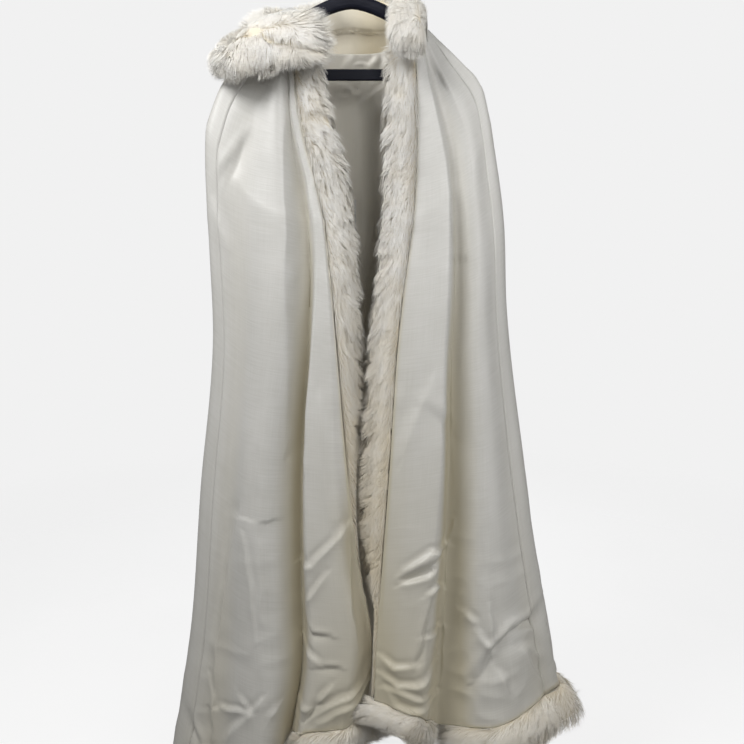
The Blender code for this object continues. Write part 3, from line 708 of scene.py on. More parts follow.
class Panel:
    """A panel of the cape as columns round it by rows down it."""

    def __init__(self, first, last, columns_a_fold, *runs):
        count = (last - first) * columns_a_fold
        self.places = [mix(first, last, column / count) for column in range(count + 1)]
        self.rows = down_steps(*runs)
        points = [[cape_point(place, at) for at in self.rows] for place in self.places]
        for edge, inner in ((0, 1), (-1, -2)):
            for row in range(len(self.rows)):
                inward = (points[inner][row] - points[edge][row]).normalized()
                points[edge][row] = points[edge][row] + inward * SEAM_DRAW
        self.points = np.array(points)
        self.across = running_lengths(self.points, 0)
        self.fall = running_lengths(self.points, 1)

    def sheet(self, inward=0.0):
        """The panel with its cloth UVs in metres, and the shade painted on it by how far each point lies in a
        hollow or by a fur seam, how low it hangs and, on the left front, its turned edge. A lining is the same
        sheet moved inward.
        """
        columns, rows = len(self.places) - 1, len(self.rows) - 1
        shape = grid(columns, rows, lambda column, row: self.points[column][row])
        column = np.tile(np.arange(columns + 1), rows + 1)
        row = np.repeat(np.arange(rows + 1), columns + 1)
        at, from_edge = np.array(self.rows)[row], self.from_edge()[column, row]
        self.drape(shape, at, from_edge, inward)
        outs = [[fold_at(place, down)[1] for down in self.rows] for place in self.places]
        # Painted shade: in fold dips, by the fur seams, low down and on the left front's turned edge
        to_fur = np.minimum(from_edge, (1 - at) * HEM_FALL)
        hollow = np.clip(-np.array(outs)[column, row] / DEEPEST, 0, 1)
        hollow += SEAM_PAINTED_SHADE * near(to_fur, SEAM_SHADE_REACH)
        hollow += (LOW_PAINTED_SHADE + LOW_EDGE_PAINTED_SHADE * near(from_edge, LOW_EDGE_REACH)) * at**LOW_SHADE_POWER
        # The left front's turned edge gets painted shade low down
        if self.places[0] == 0:
            turned = near(from_edge - TURNED_MIDDLE, TURNED_WIDTH)
            hollow += TURNED_PAINTED_SHADE * turned * ramp(at, TURNED_FROM, TURNED_OVER)
        level = rows * 2 // 3
        uvs = np.stack((self.across[column, level], -self.fall[column, row]), axis=1)
        lay_cloth(shape, np.clip(hollow, 0, 1), lambda index: uvs[index])
        return shape

    def from_edge(self):
        """How far each point is from the panel's front edge; a back has none."""
        if self.places[0] == 0:
            return self.across
        if self.places[-1] == LAST_FOLD:
            return self.across[-1] - self.across
        return np.full(self.across.shape, 1.0)

    def drape(self, shape, at, from_edge, inward):
        """Moves the points by their relief, and a lining's inward besides."""
        points = np.array([vertex.co for vertex in shape.verts])
        normals = np.array([vertex.normal for vertex in shape.verts])
        relief = relief_of(points, normals, at, from_edge)
        if inward:
            relief += lining_relief(points, at)
        moved = points + normals * (relief - inward)[:, None]
        for vertex, place in zip(shape.verts, moved):
            vertex.co = place
        shape.normal_update()


# The cloth's own run beside a front edge is taken from this part of a fold further in
BAND_INNER = 0.1


def band_station(place, at, inner_place, width, thickness, fold, step=0.01):
    """One section of a front band, which leaves the cloth's edge turned inward by its fold; step is how far up
    and down its run is taken from.
    """
    edge = cape_point(place, at)
    outward = (edge - cape_point(inner_place, at)).normalized()
    along = (cape_point(place, min(at + step, 1)) - cape_point(place, max(at - step, 0))).normalized()
    outward = (outward - along * outward.dot(along)).normalized()
    face = along.cross(outward).normalized()
    if face.y > 0:
        face = -face
    turn = math.radians(fold)
    wide = outward * math.cos(turn) - face * math.sin(turn)
    thick = face * math.cos(turn) + outward * math.sin(turn)
    clear = GAP + BAND_FOLD_ROOM * math.sin(turn) ** 2
    centre = edge - face * WALL / 2 + wide * (clear + width / 2)
    return centre, wide, thick, width / 2, thickness / 2


def band_stations(side, count=110):
    place, inner = (0, BAND_INNER) if side == "left" else (LAST_FOLD, LAST_FOLD - BAND_INNER)
    stations = []
    for step in range(count + 1):
        at = mix(BAND_FROM, BAND_TO, step / count)
        width, thickness = between(BANDS, "width_" + side, at), between(BANDS, "thick", at)
        stations.append(band_station(place, at, inner, width, thickness, between(BANDS, "fold_" + side, at)))
    return stations


def hem_station(place, step=0.05):
    """One section of the hem's fur, below the cloth; step is how far to either side its run is taken from."""
    hem = cape_point(place, 1)
    fall = (hem - cape_point(place, 1 - step / 2)).normalized()
    ahead = cape_point(min(place + step, LAST_FOLD), 1) - cape_point(max(place - step, 0), 1)
    face = ahead.normalized().cross(fall).normalized()
    fall = face.cross(ahead.normalized()).normalized()
    way = fold_at(place, 1)[0]
    width = between(HEM_FUR, "width", way, "way")
    flare = math.radians(between(HEM_FUR, "flare", way, "way"))
    hem -= face * WALL / 2
    turned = fall * math.cos(flare) + face * math.sin(flare)
    face = face * math.cos(flare) - fall * math.sin(flare)
    centre = hem + turned * (2 * GAP + width / 2)
    return centre, turned, face, width / 2, HEM_FUR_THICKNESS / 2


def hem_stations(first, last, a_fold=8):
    count = round((last - first) * a_fold)
    return [hem_station(mix(first, last, step / count)) for step in range(count + 1)]


def neck_point(bearing):
    """A point of the hood's own neck seam, just above the cape's neckline."""
    level = LEVELS[0]
    across, along, depth, height, held = section_at(level, math.radians(bearing))
    lift = (ride(level["right"]) + 2 * WALL) * held
    half = level["right"] + 2 * GAP
    return Vector((half * across, boxy(along) * (depth + 2 * GAP), height + lift + 2 * GAP))


HOOD_ROWS = [dict(row, at=number) for number, row in enumerate(HOOD)]
LAST_ROW = len(HOOD) - 1
# Strips of the hood's sheets between two rows of the table, and steps along each one
HOOD_STRIPS, HOOD_STEPS = 8, 40
HOOD_COLUMNS = LAST_ROW * HOOD_STRIPS
# Its cloth UVs, about in metres: how wide a row of the table is and how long a strip is
HOOD_ROW_WIDTH, HOOD_LENGTH = 0.05, 0.35
# Gathers at its neck seam: how far they stand out, over what share of a strip, and the shade painted there
HOOD_GATHER, HOOD_GATHERED, GATHER_PAINTED_SHADE = 0.0014, 0.3, 0.25
# Its unevenness: how far it goes, its bumps in a metre and the rows in which it fades at both ends
HOOD_UNEVEN, HOOD_BUMPS, HOOD_FADE_ROWS = 0.003, 18, 4
# Its lining over the fur: how many rows, from and to which shares of the fur's half width, how high as a
# share of the fur's half thickness, how far clear of that, and its ripples
OVER_FUR = 14
OVER_FUR_WIDTH = (0.78, -0.94)
OVER_FUR_HEIGHT, OVER_FUR_CLEAR, OVER_FUR_RIPPLE = 0.66, 0.001, 0.0060
# The lining's painted shade is deepest in the middle of the neck, at this X and as far as this to either side
SHADE_MIDDLE, SHADE_WIDTH = 0.04, 0.04
# Its painted shade all over, how uneven that is at random and how much more its middle has
HOOD_LINING_PAINTED_SHADE, LINING_UNEVEN, MIDDLE_PAINTED_SHADE = 0.25, 0.3, 0.7


def hood_vector(name, place):
    return Vector([between(HOOD_ROWS, name + axis, place) for axis in ("_x", "_y", "_z")])


def hood_strip(place):
    """Points from the neckline, through the pouch at the middle of their curve, to the seam of the fur."""
    neck = neck_point(between(HOOD_ROWS, "bearing", place))
    pouch, seam = hood_vector("pouch", place), hood_vector("seam", place)
    wide = (seam - hood_vector("brim", place)).normalized()
    spread = Vector((0, between(HOOD_ROWS, "spread", place), 0))
    control = (pouch * 8 - neck - seam) / 6
    early, late = control - spread, control + spread
    skew = (seam - late).normalized().cross(wide).length
    seam = seam + wide * (2 * GAP + 3 * WALL * skew)
    return [
        neck * (1 - t) ** 3 + early * 3 * t * (1 - t) ** 2 + late * 3 * t * t * (1 - t) + seam * t**3
        for t in (step / HOOD_STEPS for step in range(HOOD_STEPS + 1))
    ]


def hood_strips():
    return [hood_strip(column / HOOD_STRIPS) for column in range(HOOD_COLUMNS + 1)]


def hood_uv(index):
    row, column = divmod(index, HOOD_COLUMNS + 1)
    return column / HOOD_STRIPS * HOOD_ROW_WIDTH, -row / HOOD_STEPS * HOOD_LENGTH


def hood_sheet():
    """The hood's outer face, with its cloth UVs and gathers where it is sewn to the neckline, and shade
    painted along the neckline.
    """
    strips = hood_strips()
    shape = grid(HOOD_COLUMNS, HOOD_STEPS, lambda column, row: strips[column][HOOD_STEPS - row])
    uneven = HOOD_UNEVEN * soft_noise(np.array([vertex.co for vertex in shape.verts]), HOOD_BUMPS)
    hollow = []
    for number, vertex in enumerate(shape.verts):
        row, column = divmod(number, HOOD_COLUMNS + 1)
        place = column / HOOD_STRIPS
        at_neck = max(0, 1 - (HOOD_STEPS - row) / HOOD_STEPS / HOOD_GATHERED)
        wave = math.sin(place * 13 + 2 * math.sin(place * 3))
        ends = min(1, place, (HOOD_COLUMNS - column) / HOOD_STRIPS)
        soft = uneven[number] * min(1, row / HOOD_FADE_ROWS, (HOOD_STEPS - row) / HOOD_FADE_ROWS)
        vertex.co += vertex.normal * (wave * at_neck * ends * HOOD_GATHER + soft * ends)
        # Painted shade by the neckline, fading over the gathered share of the strip
        hollow.append(GATHER_PAINTED_SHADE * at_neck)
    lay_cloth(shape, hollow, hood_uv)
    shape.normal_update()
    return shape


def running_lengths(points, axis):
    """Distances from the first point, summed along one axis of a table of points."""
    steps = np.linalg.norm(np.diff(points, axis=axis), axis=2)
    first = np.zeros_like(np.take(steps, [0], axis=axis))
    return np.concatenate((first, np.cumsum(steps, axis=axis)), axis=axis)


def hood_fur_station(place):
    seam, brim = hood_vector("seam", place), hood_vector("brim", place)
    before, after = max(place - 0.2, 0), min(place + 0.2, LAST_ROW)
    ahead = sum((hood_vector(name, after) - hood_vector(name, before) for name in ("seam", "brim")), Vector())
    wide = (brim - seam).normalized()
    thick = wide.cross(ahead.normalized()).normalized()
    return (seam + brim) / 2, wide, thick, (brim - seam).length / 2, HOOD_FUR_THICKNESS / 2


def hood_fur_stations(count=120):
    return [hood_fur_station(LAST_ROW * step / count) for step in range(count + 1)]


def hood_lining_sheet():
    """The lining inside the hood, which goes on over the fur's inner face round the back of the neck."""
    hood = hood_sheet()
    inside = [vertex.co - vertex.normal * (WALL + GAP) for vertex in hood.verts]
    hood.free()
    stations = [hood_fur_station(column / HOOD_STRIPS) for column in range(HOOD_COLUMNS + 1)]

    def place_point(column, row):
        if row >= OVER_FUR:
            return inside[(row - OVER_FUR) * (HOOD_COLUMNS + 1) + column]
        centre, wide, thick, half_width, half_thickness = stations[column]
        x = mix(*OVER_FUR_WIDTH, row / OVER_FUR)
        full = (1 - abs(x) ** HOOD_FUR_ROUND) ** (1 / HOOD_FUR_ROUND)
        ripple = math.sin(0.65 * column + 1.2 * x) * math.sin(0.37 * column + 1.3 * x)
        inward = half_thickness * OVER_FUR_HEIGHT * full + OVER_FUR_CLEAR + OVER_FUR_RIPPLE * ripple**2
        return centre + wide * x * half_width - thick * inward

    shape = grid(HOOD_COLUMNS, HOOD_STEPS + OVER_FUR, place_point)
    points = np.array([vertex.co for vertex in shape.verts])
    uneven, at_middle = soft_noise(points, 22), near(points[:, 0] - SHADE_MIDDLE, SHADE_WIDTH)
    # Painted shade over the hood's lining, uneven at random and deepest in the neck's middle
    lay_cloth(shape, HOOD_LINING_PAINTED_SHADE + LINING_UNEVEN * uneven + MIDDLE_PAINTED_SHADE * at_middle, hood_uv)
    bare = []
    for vertex in shape.verts:
        row, column = divmod(vertex.index, HOOD_COLUMNS + 1)
        first, last = FUR_LINED if row < OVER_FUR else HOOD_LINED
        if not first <= column / HOOD_STRIPS <= last:
            bare.append(vertex)
    bmesh.ops.delete(shape, geom=bare, context="VERTS")
    return shape


def unit(vectors):
    return vectors / np.maximum(np.linalg.norm(vectors, axis=1, keepdims=True), 1e-9)


# The fur's core as shares of its strip's width and thickness, the share of the room beside it by which it is
# moved to the seam, and what is left of it at a free end
CORE = (0.78, 0.50)
TO_SEAM = 0.85
LEAST_CORE = 0.02
TURNS = np.linspace(0, 2 * np.pi, 181)


def rounded(turn, roundness):
    """The place at a turn round a section that is squarer than a circle."""
    x, y, power = np.cos(turn), np.sin(turn), 2 / roundness
    return np.sign(x) * np.abs(x) ** power, np.sign(y) * np.abs(y) ** power


class Strip:
    """A strip of fur as sections along its length, to be read anywhere between them."""

    def __init__(self, stations, roundness, free_ends):
        centre, wide, thick, half_width, half_thickness = zip(*stations)
        self.centre, self.wide, self.thick = np.array(centre), np.array(wide), np.array(thick)
        self.half = np.array((half_width, half_thickness)).T
        self.roundness = roundness
        self.free_ends = free_ends
        steps = np.linalg.norm(np.diff(self.centre, axis=0), axis=1)
        self.reach = np.concatenate(((0,), np.cumsum(steps)))
        self.length = self.reach[-1]
        half = self.half.mean(axis=0)
        x, y = rounded(TURNS, roundness)
        self.edge = np.concatenate(((0,), np.cumsum(np.hypot(np.diff(x * half[0]), np.diff(y * half[1])))))
        self.girth = self.edge[-1]

    def turns(self, shares):
        """Turns round the section for even shares of its edge."""
        return np.interp(shares * self.girth, self.edge, TURNS)

    def read(self, values, metres):
        return np.stack([np.interp(metres, self.reach, column) for column in values.T], axis=1)

    def sections(self, metres):
        """Centre, width axis, thickness axis, run and half sizes at lengths along the strip."""
        centre = self.read(self.centre, metres)
        wide = unit(self.read(self.wide, metres))
        thick = unit(self.read(self.thick, metres))
        return centre, wide, thick, unit(np.cross(wide, thick)), self.read(self.half, metres)

    def marks(self):
        """Where each section is in rows of the hood's table."""
        return np.linspace(0, LAST_ROW, len(self.centre))

    def end_shape(self, metres, rounding):
        """How full the section is near a free end, and how far its face leans out along the strip."""
        fullness, lean = np.ones(len(metres)), np.zeros(len(metres))
        for free, distance, sign in zip(self.free_ends, (metres, self.length - metres), (-1, 1)):
            if free:
                close = 1 - ramp(distance, 0, rounding)
                fullness = fullness * np.sqrt(np.maximum(1 - close**2, LEAST_CORE))
                lean = lean + sign * close
        return fullness, lean

    def surface(self, metres, turn):
        """Points and outward directions of the strip's core at lengths and turns round its section."""
        centre, wide, thick, run, half = self.sections(metres)
        fullness, lean = self.end_shape(metres, self.half[:, 1].mean())
        x, y = rounded(turn, self.roundness)
        half_width, half_thickness = half[:, 0] * CORE[0] * fullness, half[:, 1] * CORE[1] * fullness
        to_seam = half[:, 0] * (1 - CORE[0]) * TO_SEAM
        points = centre + wide * (x * half_width - to_seam)[:, None] + thick * (y * half_thickness)[:, None]
        out = unit(wide * (x / half[:, 0])[:, None] + thick * (y / half[:, 1])[:, None])
        return points, unit(out + run * lean[:, None] * self.run_sign())

    def run_sign(self):
        """1 where the run goes the way that lengths grow, and -1 where it goes against them."""
        ahead = self.centre[1] - self.centre[0]
        return 1 if np.dot(np.cross(self.wide[0], self.thick[0]), ahead) > 0 else -1

    def turn_sign(self):
        """1 where a growing turn goes along run x out, and -1 where it goes against it."""
        _, wide, thick, run, _ = self.sections(np.array((self.length / 2,)))
        return 1 if np.dot(np.cross(run[0], wide[0]), thick[0]) > 0 else -1

    def kept_in(self, points, metres, limit, overhang, more):
        """Points drawn back where they stand out of the strip's section by more than the limit. Towards its
        free edge that is the overhang and more.
        """
        centre, wide, thick, _, half = self.sections(metres)
        offset = points - centre
        x = np.sum(offset * wide, axis=1) / half[:, 0]
        y = np.sum(offset * thick, axis=1) / half[:, 1]
        reach = (np.abs(x) ** self.roundness + np.abs(y) ** self.roundness) ** (1 / self.roundness)
        room = limit + (overhang - limit + more) * np.clip(x, 0, 1)
        back = np.where(reach > room, room / np.maximum(reach, 1e-9), 1) - 1
        return points + wide * (x * half[:, 0] * back)[:, None] + thick * (y * half[:, 1] * back)[:, None]


# How far a cell's middle strays, as a share of the cell
STRAY = 0.8


def cells(along, across, size):
    """For points on a strip, the middle of the uneven cell that each lies in, and that cell's own number."""
    nearest = np.full(len(along), 1e9)
    middle_along, middle_across = np.zeros(len(along)), np.zeros(len(along))
    own = np.zeros(len(along))
    for step_along, step_across in itertools.product((-1, 0, 1), repeat=2):
        cell_along = np.floor(along / size) + step_along
        cell_across = np.floor(across / size) + step_across
        here_along = (cell_along + 0.5 + STRAY * (hashed(cell_along, cell_across) - 0.5)) * size
        here_across = (cell_across + 0.5 + STRAY * (hashed(cell_across, cell_along + 3) - 0.5)) * size
        distance = np.hypot(along - here_along, across - here_across)
        closer = distance < nearest
        nearest = np.where(closer, distance, nearest)
        middle_along = np.where(closer, here_along, middle_along)
        middle_across = np.where(closer, here_across, middle_across)
        own = np.where(closer, hashed(cell_along + 0.7, cell_across + 0.2), own)
    return middle_along, middle_across, own


# The length of a backing's cells, and its lumps: how high, and how many in a metre
BACKING_CELL = 0.012
LUMP, LUMP_BUMPS = 0.0015, 45


def add_backing(name, node, strip, sides=20):
    """The skin of a strip of fur: a lumpy roll inside its solid, which the pile stands on."""
    rows = max(8, round(strip.length / BACKING_CELL))
    metres = np.repeat(np.linspace(0, strip.length, rows + 1), sides + 1)
    turn = np.tile(np.linspace(0, 2 * np.pi, sides + 1), rows + 1)
    points, out = strip.surface(metres, turn)
    points = points + out * (LUMP * soft_noise(points, LUMP_BUMPS))[:, None]
    shape = closed(grid(sides, rows, lambda column, row: points[row * (sides + 1) + column]))
    finish_piece(name + "_backing", shape, "fur_backing", node)


# How each fur is combed: how much it lies to its free edge, falls, runs along its strip and runs on past
# free ends, how deep its hollows are, and how far it fills the gap between the fronts low down
HOOD_COMB, BAND_COMB, HEM_COMB = table(
    "to_edge fall along flow hollow gap_fill",
    (0.55, 0.70, 0.05, 1.5, 0.2, 0.0),
    (0.50, 0.85, 0.00, 0.3, 0.6, 0.7),
    (0.50, 0.50, 0.25, 0.8, 0.0, 0.0),
)
# From where down, and over what height, the pile turns towards the gap and is painted warmer and darker as
# shade
LOW_FROM, LOW_DEPTH = -0.50, 0.45
# How far from a free end the pile begins to run on past it, and by how much at the end itself
FLOW_REACH, RUN_ON = 0.045, 0.010
# Steps that scatter the roots evenly along a strip and round it
STEP_ALONG, STEP_ROUND = 0.7548776662466927, 0.5698402909980532
# The part of a lined strip's section that its lining hides: below this sine and this cosine of its turn
HIDDEN_SINE, HIDDEN_COSINE = 0.1, 0.72
# Lined pile parts at the seam: it lies this way by the cosine of its turn, from -1 back over the seam to 1
PARTING, PARTING_AT = 2.5, 1.2
# How many times as wide as a tuft a clump is, and how far locks are drawn to the middle of their tuft
CLUMP, TUFT_PULL = 2.6, 0.32
# Bumps in a metre of the fur's sway, swirl, puffs and hollows, and how much a clump adds to a puff
SWAY_BUMPS, SWIRL_BUMPS, PUFF_BUMPS, HOLLOW_BUMPS = 28, 22, 40, 24
CLUMP_PUFF = 0.9
# From which height of their noise hollows begin, and over how much of it they deepen
HOLLOW_FROM, HOLLOW_OVER = 0.30, 0.4
# The groove between the rolls: where it ends along the strip and over how much, and its middle beside the
# strip's, its slant and its width
GROOVE_END, GROOVE_FADE = 0.21, 0.04
GROOVE_MIDDLE, GROOVE_SLANT, GROOVE_WIDTH = 0.51, 7.1, 0.17
# How far locks turn aside: with the fur's sway and swirl, with their tuft and each by itself, in radians
SWAY, SWIRL, TUFT_TURN, OWN_TURN, OWN_ROLL = 0.5, 0.4, 0.26, 0.22, 0.8
# A lock's length as shares of the pile's: at least, and for itself, its tuft and its clump
LEAST_LENGTH, OWN_LENGTH, TUFT_LENGTH, CLUMP_LENGTH = 0.62, 0.22, 0.22, 0.42
# How much shorter locks are in a hollow and how much longer low down, and how far a root is out or in
HOLLOW_SHORTER, LOW_LONGER, PUFF_OUT, HOLLOW_IN = 0.45, 0.35, 0.0020, 0.006
# How far a lock rises from the skin at its root and at its tip, and how much a puff adds to each
ROOT_LIFT, TIP_LIFT, ROOT_PUFF, TIP_PUFF = 1.0, 0.10, 0.35, 0.12
# How much a lock lies down at its root, falls at its tip and falls less low down, and where it bends
ROOT_LIE, TIP_FALL, LOW_STIFFER, BEND_AT = 0.8, 0.15, 0.8, 0.40
# How far middles and tips may stand out of the strip's section, except at its free edge
MIDDLE_LIMIT, TIP_LIMIT = 1.0, 1.12
# A lock's width: how narrow it is at least, how much wider it may be and its share of that at its middle
LEAST_WIDTH, OWN_WIDTH, MIDDLE_WIDTH = 0.7, 0.6, 0.85
# How much its light follows its raised face and its run, and its five corners' heights for its colour, which
# paints shade towards the root
RAISED_LIGHT, RUN_LIGHT = 0.16, 0.08
CORNER_HEIGHTS = (0.0, 0.0, 0.6, 0.6, 1.0)
# Painted shade that takes away from those heights: in hollows, lying low down, and filling the gap
HOLLOW_PAINTED_SHADE, LOW_PILE_PAINTED_SHADE, GAP_PAINTED_SHADE = 0.45, 0.45, 0.8


def near_roll_groove(share, beside):
    """How deep the fur is pinched between its two rolls over the left shoulder, at a share of its length and
    a place beside its middle.
    """
    middle = near(beside - GROOVE_MIDDLE + GROOVE_SLANT * share, GROOVE_WIDTH)
    return ramp(GROOVE_END - share, 0, GROOVE_FADE) * middle


def hollows(root):
    """Uneven hollows between clumps of fur."""
    return ramp(soft_noise(root * (1, 1, 1.3), HOLLOW_BUMPS), HOLLOW_FROM, HOLLOW_OVER)


class Pile:
    """A strip's pile, as arrays over its locks. A lined one is hidden by a lining from one row of the hood's
    table to another, and it parts at its seam and lies back over it.
    """

    def __init__(self, strip, locks, comb, lined=None):
        self.strip, self.comb, self.lined = strip, comb, lined
        self.fur = bpy.context.scene.bridal_cape_fur
        self.scatter(round(locks * self.fur.density))
        self.root, self.out = strip.surface(self.along, self.turn)
        _, self.wide, _, self.run, self.half = strip.sections(self.along)
        self.around = unit(np.cross(self.run, self.out))
        across = self.share * strip.girth
        tuft_along, tuft_across, self.tuft = cells(self.along, across, self.fur.tuft)
        self.clump = cells(self.along, across, CLUMP * self.fur.tuft)[2]
        self.puff = soft_noise(self.root, PUFF_BUMPS) + CLUMP_PUFF * (2 * self.clump - 1)
        self.low = ramp(LOW_FROM - self.root[:, 2], 0, LOW_DEPTH)
        self.fill = comb["gap_fill"] * self.low
        self.deep = self.depth()
        pull_along, pull_across = (tuft_along - self.along) * TUFT_PULL, (tuft_across - across) * TUFT_PULL
        self.pull = self.run * pull_along[:, None] + self.around * (pull_across * strip.turn_sign())[:, None]

    def scatter(self, count):
        """Sets the locks' numbers, with their places along the strip and round its section."""
        self.number = np.arange(count)
        self.along = np.mod(0.5 + self.number * STEP_ALONG, 1) * self.strip.length
        self.share = np.mod(0.5 + self.number * STEP_ROUND, 1)
        self.turn = self.strip.turns(self.share)
        if self.lined:
            start, end = np.interp(self.lined, self.strip.marks(), self.strip.reach)
            lined = (self.along > start) & (self.along < end)
            shown = ~(lined & (np.sin(self.turn) < HIDDEN_SINE) & (np.cos(self.turn) < HIDDEN_COSINE))
            self.number, self.along, self.share, self.turn = (
                values[shown] for values in (self.number, self.along, self.share, self.turn)
            )

    def depth(self):
        """How deep each root lies in a hollow; the lined fur has its groove besides."""
        deep = self.comb["hollow"] * hollows(self.root)
        if self.lined:
            from_middle = self.root - self.strip.read(self.strip.centre, self.along)
            beside = np.sum(from_middle * self.wide, axis=1) / self.half[:, 0]
            deep = np.maximum(near_roll_groove(self.along / self.strip.length, beside), deep)
        return deep

    def lie(self, falling, run_on):
        """The way each lock lies on the skin, with the fur's sway in it."""
        parted = np.ones(len(self.turn))
        if self.lined:
            parted = np.clip(PARTING * np.cos(self.turn) + PARTING_AT, -1, 1)
        lie = self.wide * (self.comb["to_edge"] * parted)[:, None] + falling * np.clip(parted, 0, 1)[:, None]
        lie = lie + self.run * (self.comb["along"] + run_on)[:, None]
        lie = lie - self.out * np.sum(lie * self.out, axis=1)[:, None]
        lie = unit(lie + self.around * 1e-4)
        sway, swirl = soft_noise(self.root, SWAY_BUMPS), soft_noise(self.root[:, ::-1], SWIRL_BUMPS)
        own = 2 * hashed(self.number, self.share) - 1
        turned = SWAY * sway + SWIRL * swirl + TUFT_TURN * (2 * self.tuft - 1) + OWN_TURN * own
        return lie * np.cos(turned)[:, None] + np.cross(self.out, lie) * np.sin(turned)[:, None]

    def bend(self):
        """Root, middle and tip of each lock."""
        falling = np.zeros(self.root.shape)
        falling[:, 2] = -self.comb["fall"] * (1 - LOW_STIFFER * self.low) * np.clip(1 - self.wide[:, 2], 0, 1)
        to_end = self.strip.end_shape(self.along, FLOW_REACH)[1]
        run_on = self.comb["flow"] * self.strip.run_sign() * to_end
        lie = self.lie(falling, run_on)
        own = hashed(self.number + 3.1, self.share)
        length = LEAST_LENGTH + OWN_LENGTH * own + TUFT_LENGTH * self.tuft + CLUMP_LENGTH * self.clump
        length = self.fur.pile * length * (1 - HOLLOW_SHORTER * self.deep + LOW_LONGER * self.low)
        root = self.root + self.out * (PUFF_OUT * self.puff - HOLLOW_IN * self.deep)[:, None]
        start = unit(self.out * (ROOT_LIFT + ROOT_PUFF * self.puff)[:, None] + lie * ROOT_LIE)
        finish = unit(self.out * (TIP_LIFT + TIP_PUFF * self.puff)[:, None] + lie + falling * TIP_FALL)
        middle = root + start * (length * BEND_AT)[:, None] + self.pull * 0.5
        tip = middle + finish * (length * (1 - BEND_AT))[:, None] + self.pull * 0.5
        middle = self.strip.kept_in(middle, self.along, MIDDLE_LIMIT, MIDDLE_LIMIT, 0.5 * self.fill)
        tip = self.strip.kept_in(tip, self.along, TIP_LIMIT, self.fur.overhang, self.fill)
        return root, middle, tip + self.run * (run_on * RUN_ON)[:, None]

    def mesh(self, name):
        """Each lock as a flat blade of two faces, rolled by itself and lit as the fur round it."""
        root, middle, tip = self.bend()
        direction = unit(tip - root)
        side = unit(np.cross(direction, self.out) + self.around * 1e-3)
        raised = unit(np.cross(side, direction))
        roll = ((2 * hashed(self.number + 0.5, self.share) - 1) * OWN_ROLL)[:, None]
        side = unit(side * np.cos(roll) + raised * np.sin(roll))
        width = self.fur.hair * (LEAST_WIDTH + OWN_WIDTH * hashed(self.number + 9.2, self.share))
        aside = side * (width / 2)[:, None]
        inner = aside * MIDDLE_WIDTH
        corners = (root - aside, root + aside, middle - inner, middle + inner, tip)
        first = np.arange(len(root))[:, None] * len(corners)
        faces = (first + np.array((0, 1, 3, 2))).tolist() + (first + np.array((2, 3, 4))).tolist()
        mesh = bpy.data.meshes.new(name)
        mesh.from_pydata(np.stack(corners, axis=1).reshape(-1, 3), [], faces)
        mesh.shade_smooth()
        facing = unit(self.out + RAISED_LIGHT * raised + RUN_LIGHT * direction)
        mesh.normals_split_custom_set_from_vertices(np.repeat(facing, len(corners), axis=0))
        # Painted shade: darker towards the root, in hollows, low down and in the gap between the fronts
        dark = HOLLOW_PAINTED_SHADE * self.deep + LOW_PILE_PAINTED_SHADE * self.low + GAP_PAINTED_SHADE * self.fill
        height = np.tile(CORNER_HEIGHTS, len(root)) - np.repeat(dark, len(corners))
        tuft = np.repeat(0.5 * self.tuft + 0.5 * self.clump, len(corners))
        for label, values in (("height", height), ("tuft", tuft)):
            layer = mesh.attributes.new(label, "FLOAT", "POINT")
            layer.data.foreach_set("value", values.astype(np.float32))
        return mesh


def add_fur(name, node, strip, locks, comb, lined=None):
    """A strip of fur: its backing and its pile."""
    add_backing(name, node, strip)
    mesh = Pile(strip, locks, comb, lined).mesh(name + "_pile")
    place_piece(name + "_pile", mesh, "cream_pile", node)


def material_of(name):
    """A material by its name, made the first time it is asked for."""
    return bpy.data.materials.get(name) or MATERIALS[name]()


def satin_material():
    cloth = bpy.context.scene.bridal_cape_cloth
    shader = Shader("ivory_satin", Sheen_Weight=0.15, Sheen_Roughness=0.4, Specular_IOR_Level=0.45)
    uv = shader.uv("cloth")
    slubs = shader.noise(shader.stretched(uv, 14, 420), 1, 2)
    warp = shader.noise(shader.stretched(uv, 700, 12), 1, 2)
    cloudy = shader.noise(uv, 9, 3)
    hollow = shader.attribute("hollow")
    tone = (slubs * 0.6 + warp * 0.4 - 0.5) * 1.8 + (cloudy - 0.5) * 0.9 + 0.55
    colour = shader.mixed(rgba(cloth.satin_shade), rgba(cloth.satin), tone.clamped())
    # Painted shade: the hollow attribute mixes in the satin's shade colour
    colour = shader.mixed(colour, rgba(cloth.satin_painted_shade), (hollow**1.4 * 0.9).clamped())
    shader.feed(Base_Color=colour, Roughness=(slubs - 0.5) * 0.2 + cloth.roughness)
    shader.feed(Normal=shader.bump(slubs * 0.6 + warp * 0.4, 0.35, 0.0008))
    return shader.material


def lining_material():
    cloth = bpy.context.scene.bridal_cape_cloth
    shader = Shader("beige_lining", Sheen_Weight=0.1, Specular_IOR_Level=0.4)
    uv = shader.uv("cloth")
    streaks = shader.noise(shader.stretched(uv, 260, 10), 1, 2)
    cloudy = shader.noise(uv, 7, 3)
    dark = tuple(0.82 * value for value in cloth.lining)
    colour = shader.mixed(rgba(dark), rgba(cloth.lining), (streaks * 0.4 + cloudy * 0.6).clamped())
    # Painted shade: the hollow attribute mixes in the lining's shade colour
    colour = shader.mixed(colour, rgba(cloth.lining_painted_shade), (shader.attribute("hollow") * 0.8).clamped())
    shader.feed(Base_Color=colour, Roughness=(streaks - 0.5) * 0.15 + 0.42)
    shader.feed(Normal=shader.bump(streaks, 0.2, 0.0005))
    return shader.material


